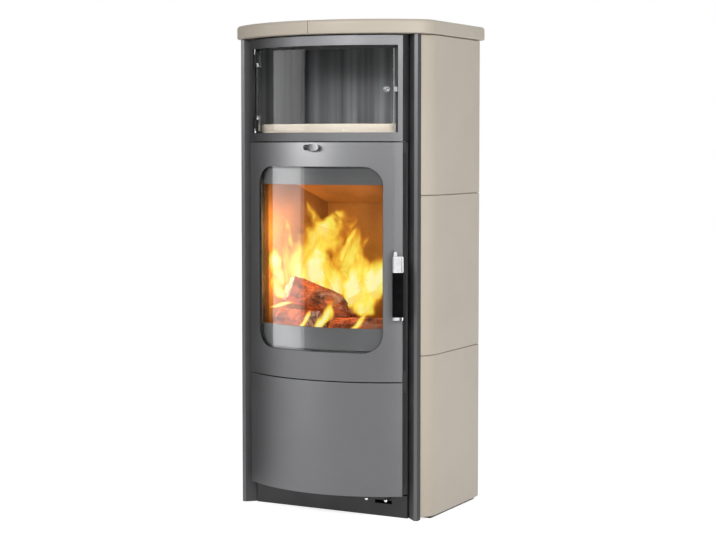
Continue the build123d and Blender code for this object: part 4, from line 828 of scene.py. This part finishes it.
# Each tongue in metres: name, depth in the firebox, half width, vigour, and four points (x, z) up its middle
FLAME_TONGUES = (
    ("halo left", -0.05, 0.05, 0.75, ((-0.15, 0.52), (-0.155, 0.61), (-0.15, 0.68), (-0.15, 0.76))),
    ("halo middle", 0.0, 0.085, 0.85, ((-0.07, 0.5), (-0.085, 0.64), (-0.065, 0.72), (-0.05, 0.83))),
    ("halo right", 0.0, 0.07, 0.82, ((0.03, 0.5), (0.03, 0.61), (0.02, 0.69), (0.03, 0.78))),
    ("core", -0.03, 0.042, 1.3, ((-0.075, 0.5), (-0.07, 0.6), (-0.055, 0.67), (-0.06, 0.74))),
    ("core left", -0.025, 0.024, 0.95, ((-0.105, 0.54), (-0.12, 0.62), (-0.115, 0.68), (-0.125, 0.75))),
    ("crown", -0.02, 0.044, 1.2, ((-0.08, 0.59), (-0.095, 0.695), (-0.055, 0.77), (0.05, 0.785))),
    ("crown curl", -0.015, 0.018, 0.8, ((-0.06, 0.69), (-0.1, 0.735), (-0.11, 0.775), (-0.125, 0.825))),
    ("left tall", -0.095, 0.018, 1.2, ((-0.165, 0.555), (-0.155, 0.62), (-0.18, 0.655), (-0.175, 0.71))),
    ("left low", -0.092, 0.02, 1.05, ((-0.15, 0.53), (-0.165, 0.57), (-0.175, 0.6), (-0.192, 0.625))),
    ("left inner", -0.07, 0.026, 1.2, ((-0.11, 0.56), (-0.11, 0.625), (-0.125, 0.66), (-0.125, 0.74))),
    ("left wisp", -0.08, 0.01, 0.75, ((-0.125, 0.66), (-0.14, 0.71), (-0.15, 0.745), (-0.165, 0.78))),
    ("right wisp", -0.02, 0.009, 0.95, ((-0.015, 0.62), (-0.01, 0.68), (0.01, 0.72), (0.055, 0.745))),
    ("low middle", -0.04, 0.036, 1.15, ((-0.02, 0.5), (-0.015, 0.58), (-0.035, 0.62), (-0.045, 0.68))),
    ("right core", -0.045, 0.044, 1.3, ((0.025, 0.5), (0.045, 0.58), (0.07, 0.62), (0.065, 0.69))),
    ("right crown", -0.04, 0.022, 1.05, ((0.07, 0.57), (0.075, 0.63), (0.055, 0.66), (0.04, 0.7))),
    ("right edge", -0.045, 0.034, 1.3, ((0.08, 0.52), (0.105, 0.59), (0.105, 0.63), (0.125, 0.69))),
    ("right foot", -0.05, 0.04, 1.15, ((0.08, 0.49), (0.07, 0.54), (0.075, 0.58), (0.06, 0.62))),
    ("under the log", -0.118, 0.016, 1.25, ((-0.175, 0.515), (-0.13, 0.53), (-0.11, 0.545), (-0.06, 0.53))),
    ("low lick left", -0.152, 0.008, 1.15, ((-0.07, 0.462), (-0.05, 0.495), (-0.035, 0.515), (-0.02, 0.54))),
    ("low lick middle", -0.152, 0.014, 1.05, ((-0.03, 0.458), (0.01, 0.495), (0.03, 0.525), (0.045, 0.59))),
    ("low lick right", -0.147, 0.012, 1.05, ((0.055, 0.465), (0.11, 0.485), (0.14, 0.51), (0.125, 0.555))),
)


class STOVE_OT_flames(bpy.types.Operator):
    """Shapes the flames: leaf-like tongues that curl as they rise"""
    bl_idname = "stove.flames"
    bl_label = "Flames"

    def execute(self, context):
        bm = bmesh.new()
        layer = bm.loops.layers.uv.new("along")
        heat = bm.verts.layers.float.new("vigour")
        for count, (_, depth, half_width, vigour, path) in enumerate(FLAME_TONGUES):
            turn = 0.25 if count % 2 else -0.25
            for vert in self.tongue(bm, layer, depth, half_width, path, turn, count):
                vert[heat] = vigour
        piece = new_piece("flames", bm, "stove_body", "flame", smooth_angle=180)
        piece.visible_shadow = False
        return {"FINISHED"}

    def tongue(self, bm, layer, depth, half_width, path, turn, count):
        """One leaf: a grid laid along a bent line and turned a little about it. Returns its vertices."""
        widest = half_width * 4.2
        made = bmesh.ops.create_grid(bm, x_segments=8, y_segments=30, size=0.5)
        verts = made["verts"]
        faces = {face for vert in verts for face in vert.link_faces}
        for face in faces:
            for loop in face.loops:
                loop[layer].uv = (loop.vert.co.x + 0.5, loop.vert.co.y + 0.5)
        points = [Vector((x, depth, z)) for x, z in path]
        for vert in verts:
            across, along = vert.co.x, vert.co.y + 0.5
            keep = 1 - along
            centre = (points[0] * keep ** 3 + points[1] * 3 * keep ** 2 * along
                      + points[2] * 3 * keep * along ** 2 + points[3] * along ** 3)
            width = widest * (0.45 + 0.55 * math.sin(math.pi * min(1.0, along * 1.1 + 0.1)))
            bow = 0.35 * half_width * (1 - 4 * across * across)
            twist = turn + 0.8 * (along - 0.5) * (1 if count % 2 else -1)
            vert.co = centre + Vector((
                math.cos(twist) * across * width,
                math.sin(twist) * across * width * 0.6 - bow + 0.006 * math.sin(7 * along + count),
                0.0))
        return verts


# ---------------------------------------------------------------- studio
def any_view_ray(tree, path):
    """1 for a ray of the camera, a gloss or a glass, 0 for the rays that carry light."""
    either = add_node(tree, "Math", operation="MAXIMUM")
    any_of = add_node(tree, "Math", operation="MAXIMUM")
    join(tree, path, "Is Camera Ray", either, 0)
    join(tree, path, "Is Glossy Ray", either, 1)
    join(tree, either, 0, any_of, 0)
    join(tree, path, "Is Transmission Ray", any_of, 1)
    return any_of.outputs[0]


def area_light(name, place, target, width, height, power):
    """A soft rectangular lamp that faces a target."""
    lamp = bpy.data.lights.new(name, "AREA")
    lamp.shape = "RECTANGLE"
    lamp.size = width
    lamp.size_y = height
    lamp.energy = power
    holder = bpy.data.objects.new(name, lamp)
    holder.location = place
    holder.rotation_euler = (Vector(target) - Vector(place)).to_track_quat("-Z", "Y").to_euler()
    holder.visible_camera = False
    bpy.context.scene.collection.objects.link(holder)
    return holder


def around(bearing, distance, height):
    """A place round the stove: bearing in degrees from straight ahead, negative to the left."""
    turn = math.radians(bearing)
    return (distance * math.sin(turn), -distance * math.cos(turn), height)


def shine_only_on(lamp, nodes):
    """Limits a lamp to the pieces that stand in for some nodes, as a photographer's flag does."""
    lit = bpy.data.collections.new(f"{lamp.name} pieces")
    for node in nodes:
        lit.objects.link(bpy.data.objects[f"{node}_finished"])
    lamp.light_linking.receiver_collection = lit


def set_on_stage(name, bm, material):
    """Turns a bmesh into scenery that is no part of the stove."""
    mesh = bpy.data.meshes.new(name)
    bm.to_mesh(mesh)
    bm.free()
    mesh.materials.append(material)
    scenery = bpy.data.objects.new(name, mesh)
    bpy.context.scene.collection.objects.link(scenery)
    return scenery


# The camera of the photograph, fitted at the stove's real size: metres, degrees, millimetres of lens
CAMERA_PLACE = (2.0732, -3.8626, 0.9373)
CAMERA_TILT = 86.8
CAMERA_TURN = 27.99
CAMERA_LENS = 84.35
CAMERA_SHIFT = -0.0419
# Corners of the dark cards: the left one lies on the floor and then stands up, the front one stands
LEFT_CARD = ((-0.42, -0.26, 0.002), (-0.42, 0.50, 0.002), (-1.95, 1.30, 0.002), (-2.15, -0.90, 0.002),
             (-1.95, 1.30, 3.0), (-2.15, -0.90, 3.0))
FRONT_CARD = ((-1.95, -2.75, 0.0), (2.90, -1.90, 0.0), (2.90, -1.90, 1.45), (-1.95, -2.75, 1.45))
# Point lamps of the fire: name, place, watts
FIRE_GLOWS = (
    ("low left fire glow", (-0.130, -0.110, 0.580), 1.5),
    ("high left fire glow", (-0.120, -0.130, 0.720), 1.2),
    ("log fire glow", (-0.020, -0.165, 0.580), 0.15),
    ("right fire glow", (0.050, -0.060, 0.580), 0.16),
)
# Upright lamps mirrored in the glass: name, lower and upper end, watts
PANE_STRIPS = (("window strip", 0.02, 0.94, 7.2), ("compartment strip", 0.94, 1.60, 1.5))
# Lamps mirrored in the chrome: bearing, distance, width
FITTINGS_STRIPS = ((-78, 1.8, 0.3), (-50, 2.6, 0.45), (-17, 1.9, 0.6), (38, 2.0, 0.3))
# Sheen on the steel: name, nodes, bearing, width, watts
SHEENS = (
    ("left door highlight", DOOR_NODES, -31, 1.9, 118.0),
    ("right door highlight", DOOR_NODES, 18, 3.2, 95.0),
    ("left rail highlight", RAIL_NODES, -31, 1.9, 19.0),
    ("right rail highlight", RAIL_NODES, 18, 3.2, 85.0),
)


class STOVE_OT_studio(bpy.types.Operator):
    """Sets up the camera, the pale floor, the white surroundings and the lamps"""
    bl_idname = "stove.studio"
    bl_label = "Studio"

    def execute(self, context):
        scene = context.scene
        view = bpy.data.cameras.new("camera")
        view.sensor_width = 36.0
        view.lens = CAMERA_LENS
        view.shift_y = CAMERA_SHIFT
        view.clip_end = 100
        camera = bpy.data.objects.new("camera", view)
        camera.location = CAMERA_PLACE
        camera.rotation_euler = (math.radians(CAMERA_TILT), 0.0, math.radians(CAMERA_TURN))
        scene.collection.objects.link(camera)
        scene.camera = camera
        self.floor()
        self.surroundings(scene)
        self.lamps()
        self.mirrored_strips()
        self.cards()
        scene.view_settings.view_transform = "Standard"
        return {"FINISHED"}

    def floor(self):
        """A wide pale floor that keeps the stove's shadow."""
        material, tree, surface = start_material("pale studio floor", Roughness=0.9, Specular_IOR_Level=0.1)
        clouds = in_clouds(tree, (0.90, 0.90, 0.90), (0.885, 0.885, 0.885),
                           clouds=2.0, grain=60.0, grain_share=0.2)
        join(tree, clouds, "Colour", surface, "Base Color")
        path = add_node(tree, "LightPath")
        lift = add_node(tree, "Math", operation="MULTIPLY")
        up_to_white = 0.74
        lift.inputs[1].default_value = up_to_white
        surface.inputs["Emission Color"].default_value = (1, 1, 1, 1)
        tree.links.new(any_view_ray(tree, path), lift.inputs[0])
        join(tree, lift, 0, surface, "Emission Strength")
        bm = bmesh.new()
        bmesh.ops.create_circle(bm, cap_ends=True, segments=96, radius=14.0)
        bmesh.ops.translate(bm, vec=(0, 0, -0.0005), verts=bm.verts)
        set_on_stage("studio_floor", bm, material)

    def surroundings(self, scene):
        """Soft white light from all round, plain white where the camera, gloss or glass looks."""
        world = bpy.data.worlds.new("studio")
        scene.world = world
        world.use_nodes = True
        tree = world.node_tree
        tree.nodes.clear()
        out = add_node(tree, "OutputWorld")
        path = add_node(tree, "LightPath")
        light = add_node(tree, "Background", Color=(0.96, 0.98, 1.0, 1), Strength=0.34)
        plain = add_node(tree, "Background", Color=(1, 1, 1, 1), Strength=1.0)
        mix = add_node(tree, "MixShader")
        tree.links.new(any_view_ray(tree, path), mix.inputs["Fac"])
        join(tree, light, 0, mix, 1)
        join(tree, plain, 0, mix, 2)
        join(tree, mix, 0, out, "Surface")

    def lamps(self):
        """Soft lamps for the steel and the ceramic, and the glow of the fire."""
        area_light("front softbox", around(-8, 3.3, 2.3), (0.0, -0.1, 0.8), 1.4, 1.0, 43.0)
        area_light("side softbox", around(58, 2.3, 1.05), (0.28, 0.0, 0.75), 0.8, 1.9, 24.0)
        slab_lamp = area_light("slab softbox", around(0, 2.0, 1.5), (0.0, 0.0, 1.0), 0.8, 0.6, 5.5)
        shine_only_on(slab_lamp, ("warming_slab",))
        for name, place, power in FIRE_GLOWS:
            glow = bpy.data.lights.new(name, "POINT")
            glow.energy = power
            glow.color = (1.0, 0.46, 0.10)
            glow.shadow_soft_size = 0.04
            holder = bpy.data.objects.new(name, glow)
            holder.location = place
            holder.visible_camera = False
            holder.visible_glossy = False
            holder.visible_transmission = False
            bpy.context.scene.collection.objects.link(holder)

    def mirrored_strips(self):
        """Lamps that only show in the glass, in the steel front or in the chrome."""
        for name, low, high, power in PANE_STRIPS:
            middle = (low + high) / 2
            lamp = area_light(name, around(-54, 3.0, middle), (0.0, 0.0, middle), 1.66, high - low, power)
            shine_only_on(lamp, ("fire_glass", "warming_glass"))
        for name, nodes, bearing, width, power in SHEENS:
            lamp = area_light(name, around(bearing, 3.4, 1.62), (0.0, 0.0, 1.1), width, 0.5, power)
            shine_only_on(lamp, nodes)
        lamp = area_light("low door highlight", around(-31, 2.8, 0.35), (0.0, 0.0, 0.3), 0.9, 0.6, 3.0)
        shine_only_on(lamp, ("lower_door_skin",))
        for bearing, distance, width in FITTINGS_STRIPS:
            lamp = area_light(f"fittings strip {bearing}", around(bearing, distance, 0.75), (0.0, 0.0, 0.75),
                              width, 1.5, 4.9 * width)
            shine_only_on(lamp, CHROME_NODES)

    def cards(self):
        """Dark cards outside the picture that only gloss and glass show, as in a photographer's studio."""
        material, _, _ = start_material("dark studio card", Base_Color=(0.02, 0.02, 0.02, 1), Roughness=0.9)
        for name, corners, faces in (("left_card", LEFT_CARD, ((0, 1, 2, 3), (3, 2, 4, 5))),
                                     ("front_card", FRONT_CARD, ((0, 1, 2, 3),))):
            bm = bmesh.new()
            made = [bm.verts.new(corner) for corner in corners]
            for face in faces:
                bm.faces.new([made[place] for place in face])
            card = set_on_stage(name, bm, material)
            card.visible_camera = False
            card.visible_diffuse = False
            card.visible_shadow = False


class STOVE_PT_panel(bpy.types.Panel):
    """Lists the stove's pieces and settings"""
    bl_idname = "STOVE_PT_panel"
    bl_label = "Tiled wood stove"
    bl_space_type = "VIEW_3D"
    bl_region_type = "UI"
    bl_category = "Stove"

    def draw(self, context):
        for group in (context.scene.stove_sizes, context.scene.stove_colours):
            for key in group.__annotations__:
                self.layout.prop(group, key)
        for operator in PIECES:
            self.layout.operator(operator.bl_idname)


PIECES = (STOVE_OT_finishes, STOVE_OT_ceramics, STOVE_OT_steel_front, STOVE_OT_glass_panes,
          STOVE_OT_fittings, STOVE_OT_body_shell, STOVE_OT_fire_lining, STOVE_OT_firewood, STOVE_OT_embers,
          STOVE_OT_flames, STOVE_OT_studio)
CLASSES = (StoveSizes, StoveColours) + PIECES + (STOVE_PT_panel,)


def register():
    for made in CLASSES:
        bpy.utils.register_class(made)
    bpy.types.Scene.stove_sizes = bpy.props.PointerProperty(type=StoveSizes)
    bpy.types.Scene.stove_colours = bpy.props.PointerProperty(type=StoveColours)


def unregister():
    del bpy.types.Scene.stove_colours
    del bpy.types.Scene.stove_sizes
    for made in reversed(CLASSES):
        bpy.utils.unregister_class(made)


def main():
    register()
    bpy.ops.stove.finishes()
    bpy.ops.stove.ceramics()
    bpy.ops.stove.steel_front()
    bpy.ops.stove.glass_panes()
    bpy.ops.stove.fittings()
    bpy.ops.stove.body_shell()
    bpy.ops.stove.fire_lining()
    bpy.ops.stove.firewood()
    bpy.ops.stove.embers()
    bpy.ops.stove.flames()
    bpy.ops.stove.studio()


if __name__ == "__main__":
    main()
